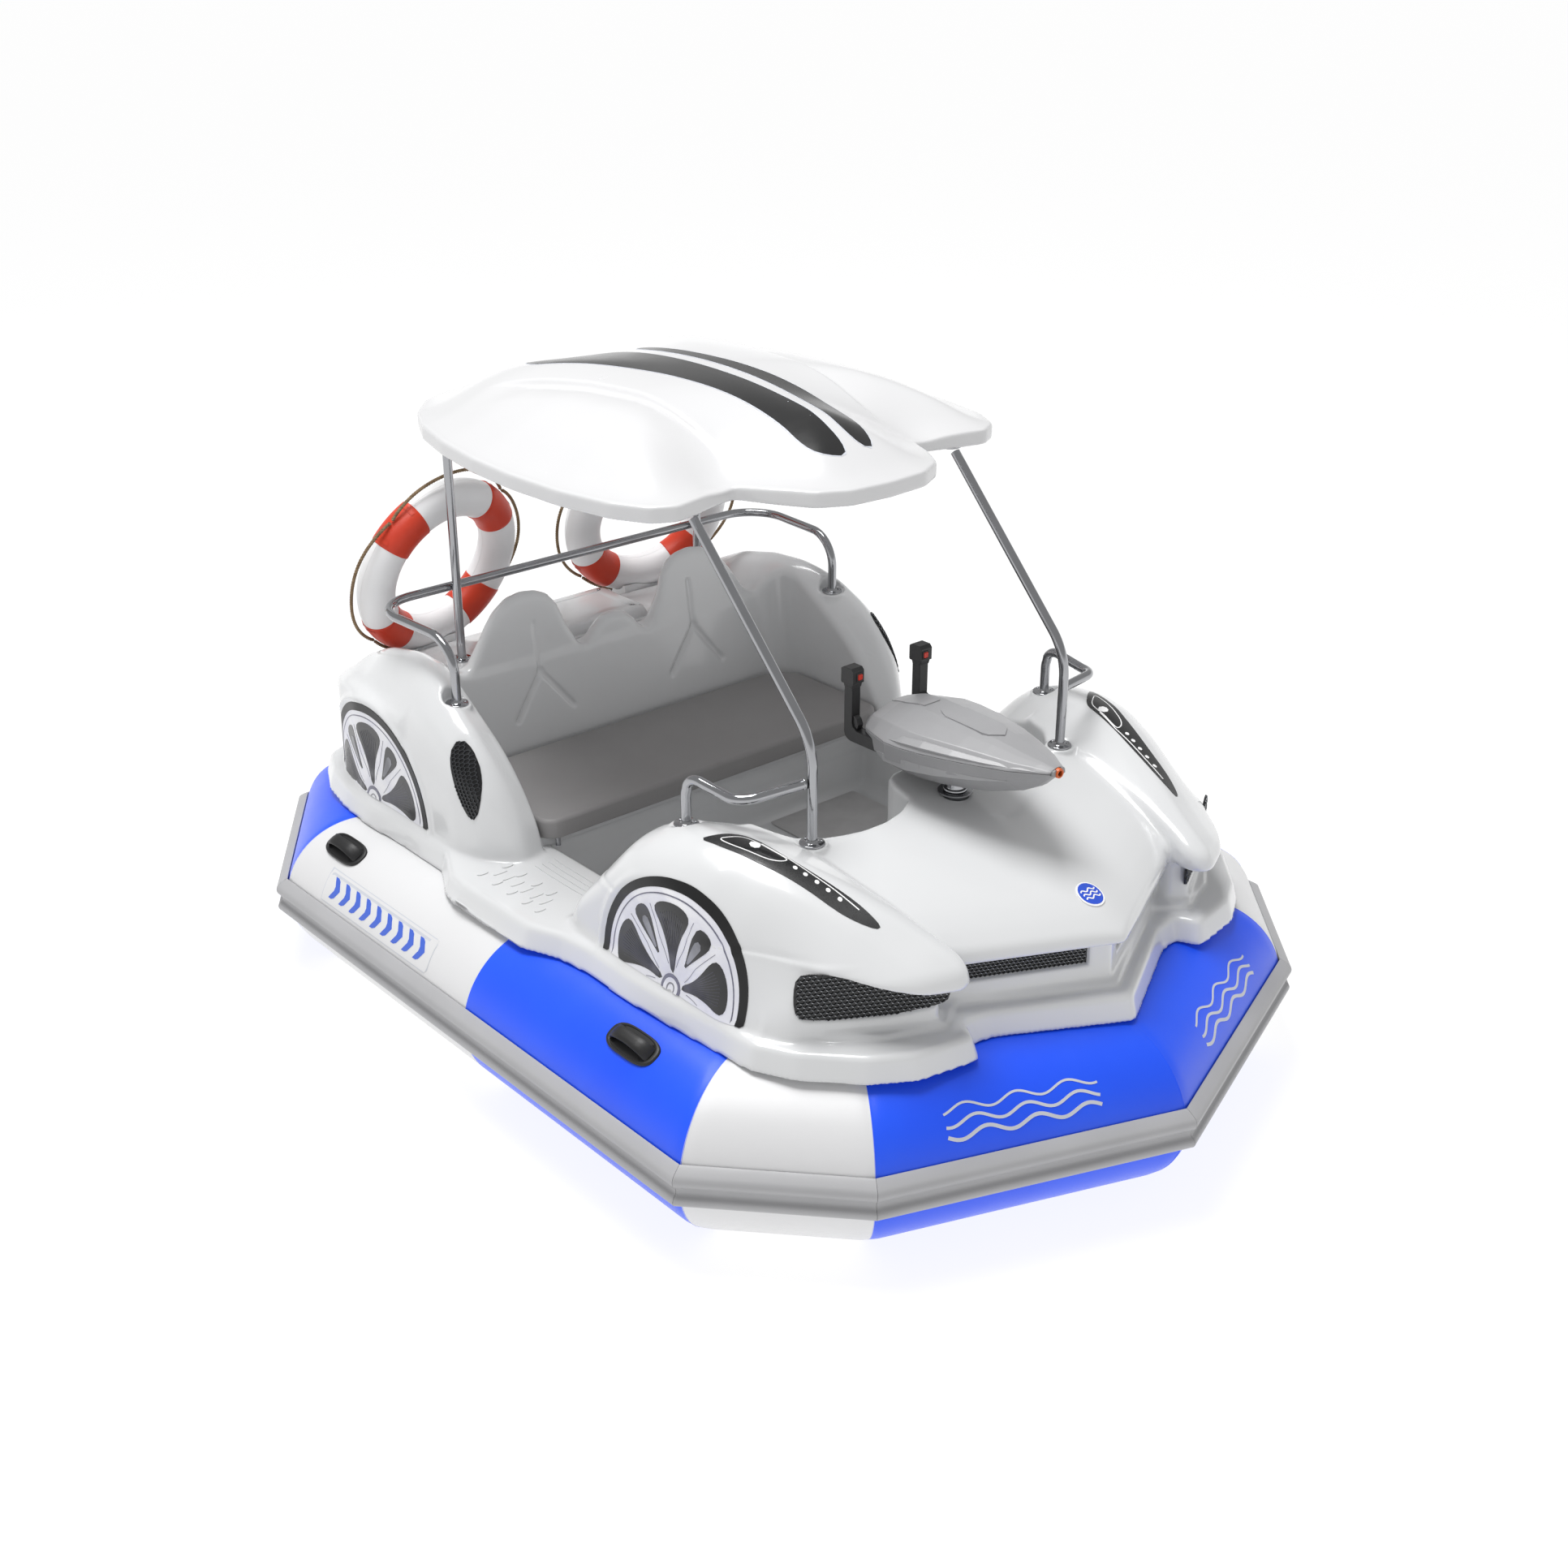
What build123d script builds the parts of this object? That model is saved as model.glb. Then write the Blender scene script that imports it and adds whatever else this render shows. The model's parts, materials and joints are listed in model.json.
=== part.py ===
# Inflatable-collar electric bumper boat with a car-shaped body, in millimetres.
# +Z up, bow towards -Y, starboard towards -X, origin under the middle of the
# overall box, on the plane that the keel skids and the collar rest on.
from build123d import *
import math
import os

os.makedirs("parts", exist_ok=True)

# ------------------------------------------------------------------ driving dimensions
TUBE_R = 214.0          # radius of the inflated collar
TUBE_WALL = 3.0         # coated fabric with its seam tapes
RIDGE_INSET = 241.0     # collar centreline inboard of the rub rail's ridge
SEAM_Y = 41.0
DECK_Z = 492.0          # top of the deck flange
FLANGE_Z = 431.0        # underside of the deck flange skirt
FRP = 5.0               # glass-reinforced skin
SOLE_Z = 310.0          # footwell sole
SEAT_Z0, SEAT_Z1 = 520.0, 578.0
PIPE_R = 12.5
CANOPY_Z = 1490.0       # underside of the canopy
COL_Y = -645.0          # steering column axis
COL_R = 22.0
FIT = 0.05              # radial running clearance
WHEEL_F = (-530.0, 505.0, 265.0)   # y, z, tyre radius
WHEEL_R = (829.0, 495.0, 277.0)
WALL_F, WALL_R = 788.0, 780.0      # outer wall of the front and rear fenders
RING_C = (377.0, 1079.0, 1023.0)
RING_R, RING_r = 221.0, 55.0
THR_Y, THR_Z = 820.0, 140.0        # thruster leg axis and motor height

# rub rail ridge, seen from above, bow first
RIDGE = [(0, -1451), (740.7, -1171), (1045, -836.5), (1045, 961), (708, 1451),
         (-708, 1451), (-1045, 961), (-1045, -836.5), (-740.7, -1171)]


# ------------------------------------------------------------------ helpers
def inset(pts, d):
    """Closed counter-clockwise outline moved inwards by d with mitred corners."""
    n = len(pts)
    area = sum(pts[i][0] * pts[(i + 1) % n][1] - pts[(i + 1) % n][0] * pts[i][1] for i in range(n))
    sgn = 1.0 if area > 0 else -1.0
    out = []
    for i in range(n):
        a, b, c = pts[i - 1], pts[i], pts[(i + 1) % n]
        d1 = (b[0] - a[0], b[1] - a[1])
        d2 = (c[0] - b[0], c[1] - b[1])
        l1, l2 = math.hypot(*d1), math.hypot(*d2)
        n1 = (-d1[1] / l1 * sgn, d1[0] / l1 * sgn)
        n2 = (-d2[1] / l2 * sgn, d2[0] / l2 * sgn)
        k = 1 + n1[0] * n2[0] + n1[1] * n2[1]
        out.append((b[0] + d * (n1[0] + n2[0]) / k, b[1] + d * (n1[1] + n2[1]) / k))
    return out


def both(half):
    """Mirror a starboard-to-port half outline (x >= 0, bow to stern) into a closed one."""
    left = [(-x, y) for x, y in reversed(half) if x > 0]
    return half + left


def envelope(plan, profile, section, z0, z1):
    """Solid bounded by a plan outline, a side profile (y, z) and a cross-section (x, z)."""
    with BuildPart() as env:
        with BuildSketch(Plane.XY.offset(z0)):
            with BuildLine():
                Polyline(*plan, close=True)
            make_face()
        extrude(amount=z1 - z0)
        with BuildSketch(Plane.YZ):
            with BuildLine():
                Polyline(*profile, close=True)
            make_face()
        extrude(amount=1200, both=True, mode=Mode.INTERSECT)
        if section:
            with BuildSketch(Plane.XZ):
                with BuildLine():
                    Polyline(*section, close=True)
                make_face()
            extrude(amount=2000, both=True, mode=Mode.INTERSECT)
    return env.part


def drop(pts, z, to):
    """Lower every point of a (a, z) outline that lies at or under z."""
    return [(a, to if b <= z else b) for a, b in pts]


def skin(plan, profile, section, z0, z1, t=FRP):
    """Open-bottomed moulding: the outer envelope less the same shape t smaller."""
    outer = envelope(plan, profile, section, z0, z1)
    inner = envelope(inset(plan, t), drop(inset(profile, t), z0 + t + 4, z0 - 10),
                     drop(inset(section, t), z0 + t + 4, z0 - 10) if section else None, z0 - 10, z1)
    with BuildPart() as sk:
        add(outer)
        add(inner, mode=Mode.SUBTRACT)
    return sk.part


def save(part, name):
    part.label = name
    export_step(part, f"parts/{name}.step")


def cylinder_cutter(x, y, z0, z1, r):
    with BuildPart(Plane.XY.offset(z0)) as cc:
        with BuildSketch(Plane.XY.offset(z0)):
            with Locations((x, y)):
                Circle(r)
        extrude(amount=z1 - z0)
    return cc.part


def foot_holes(x, y, z0, z1):
    """Clearance for one pipe and the three screws of its flange."""
    with BuildPart() as fh:
        with BuildSketch(Plane.XY.offset(z0)):
            with Locations((x, y)):
                Circle(PIPE_R + 0.4)
                with PolarLocations(22.5, 3, start_angle=90):
                    Circle(2.8)
        extrude(amount=z1 - z0)
    return fh.part


def cup(x, y, z):
    """Recessed seat for a pipe flange: its floor is 5 mm under the cup's face at z."""
    return cylinder_cutter(x, y, z - 5, z, 40), cylinder_cutter(x, y, z, z + 80, 35)


# ------------------------------------------------------------------ inflatable collar
CENT = inset(RIDGE, RIDGE_INSET)


def mitre(i):
    """Plane through collar corner i that both neighbouring lengths are cut on."""
    n = len(CENT)
    a, b, c = CENT[i - 1], CENT[i], CENT[(i + 1) % n]
    l1 = math.hypot(b[0] - a[0], b[1] - a[1])
    l2 = math.hypot(c[0] - b[0], c[1] - b[1])
    v = ((b[0] - a[0]) / l1 + (c[0] - b[0]) / l2, (b[1] - a[1]) / l1 + (c[1] - b[1]) / l2)
    return Plane(origin=(b[0], b[1], 0), z_dir=(v[0], v[1], 0))


def collar_length(i, r, back):
    """Round bar along side i of the collar, cut on its two mitres, each moved in by back."""
    n = len(CENT)
    a, b = CENT[i], CENT[(i + 1) % n]
    L = math.hypot(b[0] - a[0], b[1] - a[1])
    d = ((b[0] - a[0]) / L, (b[1] - a[1]) / L)
    start = (a[0] - d[0] * 300, a[1] - d[1] * 300, TUBE_R)
    with BuildPart() as bar:
        with BuildSketch(Plane(origin=start, z_dir=(d[0], d[1], 0))):
            Circle(r)
        extrude(amount=L + 600)
        split(bisect_by=mitre(i).offset(back), keep=Keep.TOP)
        split(bisect_by=mitre((i + 1) % n).offset(-back), keep=Keep.BOTTOM)
    return bar.part


def chamber(i):
    outer = collar_length(i, TUBE_R, 0)
    inner = collar_length(i, TUBE_R - TUBE_WALL, TUBE_WALL)
    with BuildPart() as ch:
        add(outer)
        add(inner, mode=Mode.SUBTRACT)
    return ch.part


# each length is an air chamber of its own, so the lengths stay separate solids
air_front = Compound(children=[chamber(k) for k in (7, 8, 0, 1)])
save(air_front, "air_tube_front")
air_sides = Compound(children=[chamber(k) for k in (2, 6)])
save(air_sides, "air_tube_sides")
air_rear = Compound(children=[chamber(k) for k in (3, 4, 5)])
save(air_rear, "air_tube_rear")

# rub rail: two lobes with a channel between them, one mitred length per side
RAIL_PROFILE = [(206.4, 276), (213.6, 245), (215.4, 214), (212.9, 178), (229, 178), (238, 183), (241, 193),
                (238, 202), (229, 207), (227, 214), (229, 227), (237, 232), (241, 244), (238, 256),
                (228, 264), (214, 273)]


def rail_length(i):
    n = len(CENT)
    a, b = CENT[i], CENT[(i + 1) % n]
    L = math.hypot(b[0] - a[0], b[1] - a[1])
    d = ((b[0] - a[0]) / L, (b[1] - a[1]) / L)
    out = (d[1], -d[0], 0)
    start = (a[0] - d[0] * 400, a[1] - d[1] * 400, 0)
    pl = Plane(origin=start, x_dir=out, z_dir=(d[0], d[1], 0))
    up = 1.0 if pl.y_dir.Z > 0 else -1.0
    with BuildPart() as rl:
        with BuildSketch(pl):
            with BuildLine():
                Polyline(*[(u, up * z) for u, z in RAIL_PROFILE], close=True)
            make_face()
        extrude(amount=L + 800)
        split(bisect_by=mitre(i).offset(0.15), keep=Keep.TOP)
        split(bisect_by=mitre((i + 1) % n).offset(-0.15), keep=Keep.BOTTOM)
    return rl.part


save(Compound(children=[rail_length(k) for k in range(9)]), "rub_rail")

# carry handles: an oval glued patch with a bridge grip over a finger gap
HANDLE_TILT = 30.0
ht = math.radians(HANDLE_TILT)


def handle_plane(s, y, lift):
    nx, nz = s * math.sin(ht), math.cos(ht)
    r = TUBE_R + lift
    return Plane(origin=(s * (1045 - RIDGE_INSET) + nx * r, y, TUBE_R + nz * r), x_dir=(0, 1, 0), z_dir=(nx, 0, nz))


def patch(s, y):
    with BuildPart() as p:
        with BuildSketch(handle_plane(s, y, 0.4)):
            SlotOverall(176, 80)
        extrude(amount=5)
    return p.part


def grip(s, y):
    pl = handle_plane(s, y, 5.6)
    side = Plane(origin=pl.origin, x_dir=(0, 1, 0), z_dir=pl.z_dir.cross(Vector(0, 1, 0)))
    up = 1.0 if side.y_dir.dot(pl.z_dir) > 0 else -1.0
    arch = [(-70, 0), (-62, 16), (-44, 28), (44, 28), (62, 16), (70, 0), (46, 0), (40, 14), (34, 18), (-34, 18),
            (-40, 14), (-46, 0)]
    with BuildPart() as g:
        with BuildSketch(side):
            with BuildLine():
                Polyline(*[(a, up * b) for a, b in arch], close=True)
            make_face()
        extrude(amount=17, both=True)
    return g.part


HANDLES = [(s, y) for s in (-1, 1) for y in (-527, 777)]
save(Compound(children=[patch(s, y) for s, y in HANDLES]), "handle_patches")
save(Compound(children=[grip(s, y) for s, y in HANDLES]), "handle_grips")

# filling valves on the stern length
vt = math.radians(40)


def valve(x):
    r = TUBE_R + 0.3
    pl = Plane(origin=(x, 1451 - RIDGE_INSET + r * math.sin(vt), TUBE_R + r * math.cos(vt)),
               z_dir=(0, math.sin(vt), math.cos(vt)))
    with BuildPart() as v:
        with BuildSketch(pl):
            Circle(26)
        extrude(amount=4)
        with BuildSketch(pl.offset(4)):
            Circle(19)
        extrude(amount=9)
        chamfer(v.faces().sort_by(Axis((0, 0, 0), pl.z_dir))[-1].edges(), 2)
    return v.part


save(Compound(children=[valve(x) for x in (-300, 0, 300)]), "air_valves")

# ------------------------------------------------------------------ hull under the deck
PAN = inset(RIDGE, 462)
pan_plan = [p for p in PAN]
with BuildPart() as hull_pan:
    with BuildSketch(Plane.XY.offset(30)):
        with BuildLine():
            Polyline(*PAN, close=True)
        make_face()
        with Locations((0, 640 + 500)):
            Rectangle(1600, 1000, mode=Mode.SUBTRACT)
    extrude(amount=455.5)
    with BuildSketch(Plane.XY.offset(35)):
        with BuildLine():
            Polyline(*inset(PAN, FRP), close=True)
        make_face()
        with Locations((0, 635 + 500)):
            Rectangle(1600, 1000, mode=Mode.SUBTRACT)
    extrude(amount=500, mode=Mode.SUBTRACT)
    with BuildSketch(Plane.XY):
        with Locations((0, -60), (-330, 0), (330, 0)):
            Rectangle(60, 1200)
    extrude(amount=31)
    with BuildSketch(Plane.XZ.offset(-630)):
        with Locations((0, 60)):
            Circle(10)
    extrude(amount=-20, mode=Mode.SUBTRACT)
save(hull_pan.part, "hull_pan")

with BuildPart() as drain_plug:
    with BuildSketch(Plane.XZ.offset(-633)):
        with Locations((0, 60)):
            Circle(9.8)
    extrude(amount=-8)
    with BuildSketch(Plane.XZ.offset(-640.3)):
        with Locations((0, 60)):
            Circle(16)
    extrude(amount=-6)
save(drain_plug.part, "drain_plug")

# deck flange: a lipped plate that sits on the collar
FLANGE_HALF = [(0, -1231), (295, -1068), (372, -1054), (400, -1112), (549, -1085), (641, -1027), (747, -912),
               (795, -820), (803, -707), (815, -559), (822, -408), (818, -239), (829, -140), (865, -41),
               (849, 135), (868, 251), (860, 320), (799, 436), (796, 639), (806, 805), (794, 959), (765, 1088),
               (710, 1201), (640, 1235), (0, 1240)]
flange_plan = both(FLANGE_HALF[:-1] + [(0, 1240)])
TUB_HALF = [(100, -600), (480, -600), (480, -150), (570, -150), (570, 285)]
TUB = [(0, -482), (100, -482)] + TUB_HALF + [(-x, y) for x, y in reversed(TUB_HALF)] + [(-100, -482)]
TUB = TUB[1:]
with BuildPart() as deck_flange:
    with BuildSketch(Plane.XY.offset(FLANGE_Z)):
        with BuildLine():
            Polyline(*flange_plan, close=True)
        make_face()
    extrude(amount=DECK_Z - FLANGE_Z)
    with BuildSketch(Plane.XY.offset(FLANGE_Z - 1)):
        with BuildLine():
            Polyline(*inset(flange_plan, FRP), close=True)
        make_face()
    extrude(amount=DECK_Z - FLANGE_Z - FRP, mode=Mode.SUBTRACT)
    with BuildSketch(Plane.XY.offset(FLANGE_Z)):
        with BuildLine():
            Polyline(*inset(TUB, -5.3), close=True)
        make_face()
        with Locations((0, 800)):
            Rectangle(240, 240)
        with Locations((0, COL_Y)):
            Circle(60)
    extrude(amount=100, mode=Mode.SUBTRACT)
save(deck_flange.part, "deck_flange")

# footwell liner, with the spine under the console standing into it
with BuildPart() as cockpit_tub:
    with BuildSketch(Plane.XY.offset(SOLE_Z - FRP)):
        with BuildLine():
            Polyline(*inset(TUB, -5), close=True)
        make_face()
    extrude(amount=DECK_Z - SOLE_Z + FRP)
    with BuildSketch(Plane.XY.offset(SOLE_Z)):
        with BuildLine():
            Polyline(*TUB, close=True)
        make_face()
    extrude(amount=400, mode=Mode.SUBTRACT)
save(cockpit_tub.part, "cockpit_tub")

with BuildPart() as floor_mats:
    with BuildSketch(Plane.XY.offset(SOLE_Z + 0.2)):
        for s in (-1, 1):
            with Locations((s * 354, 67.5)):
                RectangleRounded(330, 420, 14)
    extrude(amount=6)
save(floor_mats.part, "floor_mats")

# ------------------------------------------------------------------ hood and front fenders
HOOD_UP = both([(0, -1202), (355, -1028), (470, -900), (478, -606), (105.5, -606), (105.5, -488)])
HOOD_UP = [(0, -1202), (355, -1028), (470, -900), (478, -606), (105, -606), (105, -488),
           (-105, -488), (-105, -606), (-478, -606), (-470, -900), (-355, -1028)]
HOOD_PROF = [(-1202, 612), (-1202, 636), (-1180, 650), (-1088, 703), (-980, 735), (-850, 768), (-645, 801),
             (-600, 802), (-488, 794), (-488, 492), (-1150, 492), (-1150, 612)]
HOOD_SECT = [(-478, 492), (-478, 776), (-330, 792), (-120, 803), (120, 803), (330, 792), (478, 776), (478, 492)]
HOOD_PLAN_LOW = [(0, -1160), (335, -995), (470, -880), (478, -606), (105, -606), (105, -488),
                 (-105, -488), (-105, -606), (-478, -606), (-470, -880), (-335, -995)]
hood_outer = envelope(HOOD_UP, HOOD_PROF, HOOD_SECT, 612, 820)
hood_low = envelope(HOOD_PLAN_LOW, HOOD_PROF, HOOD_SECT, DECK_Z, 612.5)
hood_in1 = envelope(inset(HOOD_UP, FRP), inset(HOOD_PROF, FRP), inset(HOOD_SECT, FRP), 617, 820)
hood_in2 = envelope(inset(HOOD_PLAN_LOW, FRP), drop(inset(HOOD_PROF, FRP), 500, 480),
                    drop(inset(HOOD_SECT, FRP), 500, 480), 480, 617.5)
with BuildPart() as hood_panel:
    add(hood_outer)
    add(hood_low)
    add(hood_in1, mode=Mode.SUBTRACT)
    add(hood_in2, mode=Mode.SUBTRACT)
    add(cylinder_cutter(0, COL_Y, 700, 900, 34.3), mode=Mode.SUBTRACT)
    for s in (-1, 1):
        add(foot_holes(s * 429, -601, 700, 900), mode=Mode.SUBTRACT)
save(hood_panel.part, "hood_panel")

FENDER_PLAN = [(480, -150), (480, -890), (400, -1000), (385, -1060), (430, -1112), (520, -1070), (640, -985), (735, -880),
               (WALL_F, -757), (WALL_F, -150), (745, -75), (560, -75)]
FENDER_PROF = [(-75, 492), (-145, 614), (-246, 732), (-295, 785), (-364, 822), (-440, 836), (-560, 822), (-700, 796),
               (-930, 728), (-1050, 678), (-1112, 652), (-1112, 612), (-1075, 600), (-1060, 492)]
FENDER_SECT = [(380, 492), (380, 640), (420, 760), (500, 800), (560, 826), (650, 838), (715, 800), (760, 740),
               (WALL_F, 660), (WALL_F, 492)]
FENDER_LOW = [(480, -150), (480, -890), (402, -1000), (440, -1035), (725, -866), (WALL_F, -757),
              (WALL_F, -150), (745, -75), (560, -75)]
Z_LIP = 612.0
fen_up_out = envelope(FENDER_PLAN, FENDER_PROF, FENDER_SECT, Z_LIP, 900)
fen_lo_out = envelope(FENDER_LOW, [(-75, 492), (-145, 614), (-1112, 614), (-1112, 492)], FENDER_SECT, DECK_Z + 0.2, Z_LIP + 0.5)
fen_up_in = envelope(inset(FENDER_PLAN, FRP), inset(FENDER_PROF, FRP), inset(FENDER_SECT, FRP), Z_LIP + FRP, 900)
fen_lo_in = envelope(inset(FENDER_LOW, FRP), [(-83, 480), (-83, 492), (-153, 630), (-1112, 630), (-1112, 480)],
                     drop(inset(FENDER_SECT, FRP), 500, 480), 480, Z_LIP + FRP + 0.5)
fen_cup, fen_pocket = cup(620, -371, 812)
with BuildPart() as front_fenders:
    add(fen_up_out)
    add(fen_lo_out)
    add(fen_up_in, mode=Mode.SUBTRACT)
    add(fen_lo_in, mode=Mode.SUBTRACT)
    add(fen_cup)
    add(fen_pocket, mode=Mode.SUBTRACT)
    add(foot_holes(620, -371, 700, 900), mode=Mode.SUBTRACT)
    mirror(about=Plane.YZ)
save(front_fenders.part, "front_fenders")

# ------------------------------------------------------------------ rear fenders, seat back, rear deck
REAR_PLAN = [(610, 240), (670, 236), (760, 330), (WALL_R, 420), (WALL_R, 900), (745, 1040), (690, 1150), (610, 1175)]
REAR_PROF = [(236, 492), (245, 545), (272, 610), (372, 752), (481, 836), (560, 880), (680, 912), (790, 905),
             (922, 872), (1040, 800), (1130, 730), (1175, 640), (1180, 492)]
REAR_SECT = [(610, 492), (610, 905), (640, 915), (700, 868), (755, 790), (WALL_R, 690), (WALL_R, 492)]
rear_f = skin(REAR_PLAN, REAR_PROF, REAR_SECT, DECK_Z + 0.2, 940)
rear_cup, rear_pocket = cup(669, 542, 842)
with BuildPart() as rear_fenders:
    add(rear_f)
    add(rear_cup)
    add(rear_pocket, mode=Mode.SUBTRACT)
    add(foot_holes(669, 542, 700, 960), mode=Mode.SUBTRACT)
    mirror(about=Plane.YZ)
save(rear_fenders.part, "rear_fenders")

BACK_HALF = [(0, 880), (40, 872), (80, 835), (110, 788), (138, 812), (163, 869), (191, 950), (230, 990), (290, 1004),
             (350, 992), (400, 966), (455, 897), (490, 834), (525, 800), (570, 815), (606, 860), (606, 590)]
lean = math.radians(8.0)
back_pl = Plane(origin=(0, 700, 0), x_dir=(1, 0, 0), z_dir=(0, -math.cos(lean), math.sin(lean)))


def on_back(x, z):
    return (x, (z - 590) / math.cos(lean) + 590)


back_pl = Plane(origin=(0, 700 - 590 * math.tan(lean) + 590 * (math.tan(lean) - math.sin(lean) / 1.0), 590 * (1 - math.cos(lean))),
                x_dir=(1, 0, 0), z_dir=(0, -math.cos(lean), math.sin(lean)))
with BuildPart() as seat_back:
    with BuildSketch(back_pl):
        with BuildLine():
            Polyline(*[on_back(x, z) for x, z in BACK_HALF] +
                      [on_back(-x, z) for x, z in reversed(BACK_HALF) if x > 0], close=True)
        make_face()
    extrude(amount=-34)
save(seat_back.part, "seat_back")

with BuildPart() as seat_riser:
    with BuildSketch(Plane.XY.offset(DECK_Z + 0.2)):
        with Locations((0, 287)):
            Rectangle(1212, 10)
        with Locations((-596, 480), (596, 480), (0, 480)):
            Rectangle(24, 376)
    extrude(amount=SEAT_Z0 - DECK_Z - 0.4)
save(seat_riser.part, "seat_riser")

DECK_PLAN = [(604, 800), (604, 1150), (560, 1200), (-560, 1200), (-604, 1150), (-604, 800)]
DECK_PROF = [(800, 492), (800, 795), (1100, 770), (1185, 740), (1200, 700), (1200, 492)]
DECK_SECT = [(-604, 492), (-604, 760), (-520, 800), (520, 800), (604, 760), (604, 492)]
deck_out = envelope(DECK_PLAN, DECK_PROF, DECK_SECT, DECK_Z + 0.2, 830)
deck_in = envelope([(x, 780 if y < 810 else y) for x, y in inset(DECK_PLAN, FRP)],
                   drop([(780 if y < 810 else y, z) for y, z in inset(DECK_PROF, FRP)], 500, 480),
                   drop(inset(DECK_SECT, FRP), 500, 480), 480, 830)
with BuildPart() as rear_deck_skin_b:
    add(deck_out)
    add(deck_in, mode=Mode.SUBTRACT)
rear_deck_skin = rear_deck_skin_b.part
with BuildPart() as rear_deck:
    add(rear_deck_skin)
    for s in (-1, 1):
        add(foot_holes(s * 430, 896, 700, 900), mode=Mode.SUBTRACT)
    with BuildSketch(Plane.XZ.offset(-1200)):
        with Locations((-300, 600)):
            Circle(14.2)
    extrude(amount=-10, both=True, mode=Mode.SUBTRACT)
save(rear_deck.part, "rear_deck")

with BuildPart() as charge_socket:
    with BuildSketch(Plane.XZ.offset(-1200.3)):
        with Locations((-300, 600)):
            Circle(22)
    extrude(amount=-5)
    with BuildSketch(Plane.XZ.offset(-1166)):
        with Locations((-300, 600)):
            Circle(14)
    extrude(amount=-38)
    with BuildSketch(Plane.XZ.offset(-1180)):
        with Locations((-300, 600)):
            Circle(10)
    extrude(amount=-30, mode=Mode.SUBTRACT)
save(charge_socket.part, "charge_socket")

with BuildPart() as motor_hatch:
    with BuildSketch(Plane.XY.offset(798)):
        with Locations((0, 955)):
            RectangleRounded(400, 250, 30)
    extrude(amount=34, taper=8)
    fillet(motor_hatch.faces().sort_by(Axis.Z)[-1].edges(), 6)
    with BuildSketch(Plane.XY.offset(797)):
        with Locations((0, 955)):
            RectangleRounded(380, 230, 22)
    extrude(amount=28, taper=8, mode=Mode.SUBTRACT)
    add(cylinder_cutter(430, 896, 700, 900, PIPE_R), mode=Mode.SUBTRACT)
save(motor_hatch.part, "motor_hatch")

# ------------------------------------------------------------------ trim on the body
def wheel_half(y, z, r_out, r_in, x):
    out = []
    for s in (-1, 1):
        with BuildPart() as w:
            with BuildSketch(Plane(origin=(s * x, y, z), x_dir=(0, 1, 0), z_dir=(s, 0, 0))):
                Circle(r_out)
                if r_in:
                    Circle(r_in, mode=Mode.SUBTRACT)
            extrude(amount=3.5)
            split(bisect_by=Plane.XY.offset(DECK_Z + 1.0), keep=Keep.TOP)
            split(bisect_by=Plane.XZ.offset(-972), keep=Keep.TOP)
        out += list(w.part.solids())
    return out


def solids_of(*parts):
    res = []
    for p in parts:
        res += list(p.solids())
    return res


covers = wheel_half(WHEEL_F[0], WHEEL_F[1], 238, 0, WALL_F + 0.3) + wheel_half(WHEEL_R[0], WHEEL_R[1], 249, 0, WALL_R + 0.3)
save(Compound(children=covers), "wheel_covers")
tyres = wheel_half(WHEEL_F[0], WHEEL_F[1], WHEEL_F[2], 238.3, WALL_F + 0.3) + \
    wheel_half(WHEEL_R[0], WHEEL_R[1], WHEEL_R[2], 249.3, WALL_R + 0.3)
save(Compound(children=tyres), "tyre_rings")

vents = []
for s in (-1, 1):
    with BuildPart() as vent:
        with BuildSketch(Plane(origin=(s * (WALL_R + 0.3), 362, 712), x_dir=(0, s * 1.0, 0), z_dir=(s, 0, 0))):
            with BuildLine():
                Polyline(*[(s * u, v) for u, v in ((46, 100), (60, 60), (44, -40), (10, -104), (-30, -104), (-46, -70),
                                                   (-40, 30), (20, 96))], close=True)
            make_face()
        extrude(amount=4)
    vents += list(vent.part.solids())
save(Compound(children=vents), "side_vents")

grilles = []
for s in (-1, 1):
    gn = Vector(s * 0.5097, -0.8604, 0)
    with BuildPart() as fg:
        with BuildSketch(Plane(origin=(s * 612.5, -943, 588), x_dir=(0.8604, s * 0.5097, 0), z_dir=gn)):
            with BuildLine():
                Polyline(*[(-s * u, v) for u, v in ((-105, -46), (-112, -14), (-90, 4), (60, 20), (98, 20), (112, 4), (104, -40), (60, -52))], close=True)
            make_face()
        extrude(amount=5)
    grilles += list(fg.part.solids())
save(Compound(children=grilles), "front_grilles")

cgs = []
for s in (-1, 1):
    ax, ay = s * 30, -1149
    bx, by = s * 318, -1007
    L = math.hypot(bx - ax, by - ay)
    dx, dy = (bx - ax) / L, (by - ay) / L
    nrm = (dy, -dx, 0) if (dy * 0 - dx * -1) * 0 + (-dx) * 1 < 0 or -dx < 0 else (-dy, dx, 0)
    if nrm[1] > 0:
        nrm = (-nrm[0], -nrm[1], 0)
    ox, oy = (ax + bx) / 2 + nrm[0] * 2.5, (ay + by) / 2 + nrm[1] * 2.5
    with BuildPart() as cg:
        with BuildSketch(Plane(origin=(ox, oy, 578), x_dir=(dx, dy, 0), z_dir=nrm)):
            RectangleRounded(L, 54, 8)
        extrude(amount=4)
    cgs += list(cg.part.solids())
save(Compound(children=cgs), "centre_grille")

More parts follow.
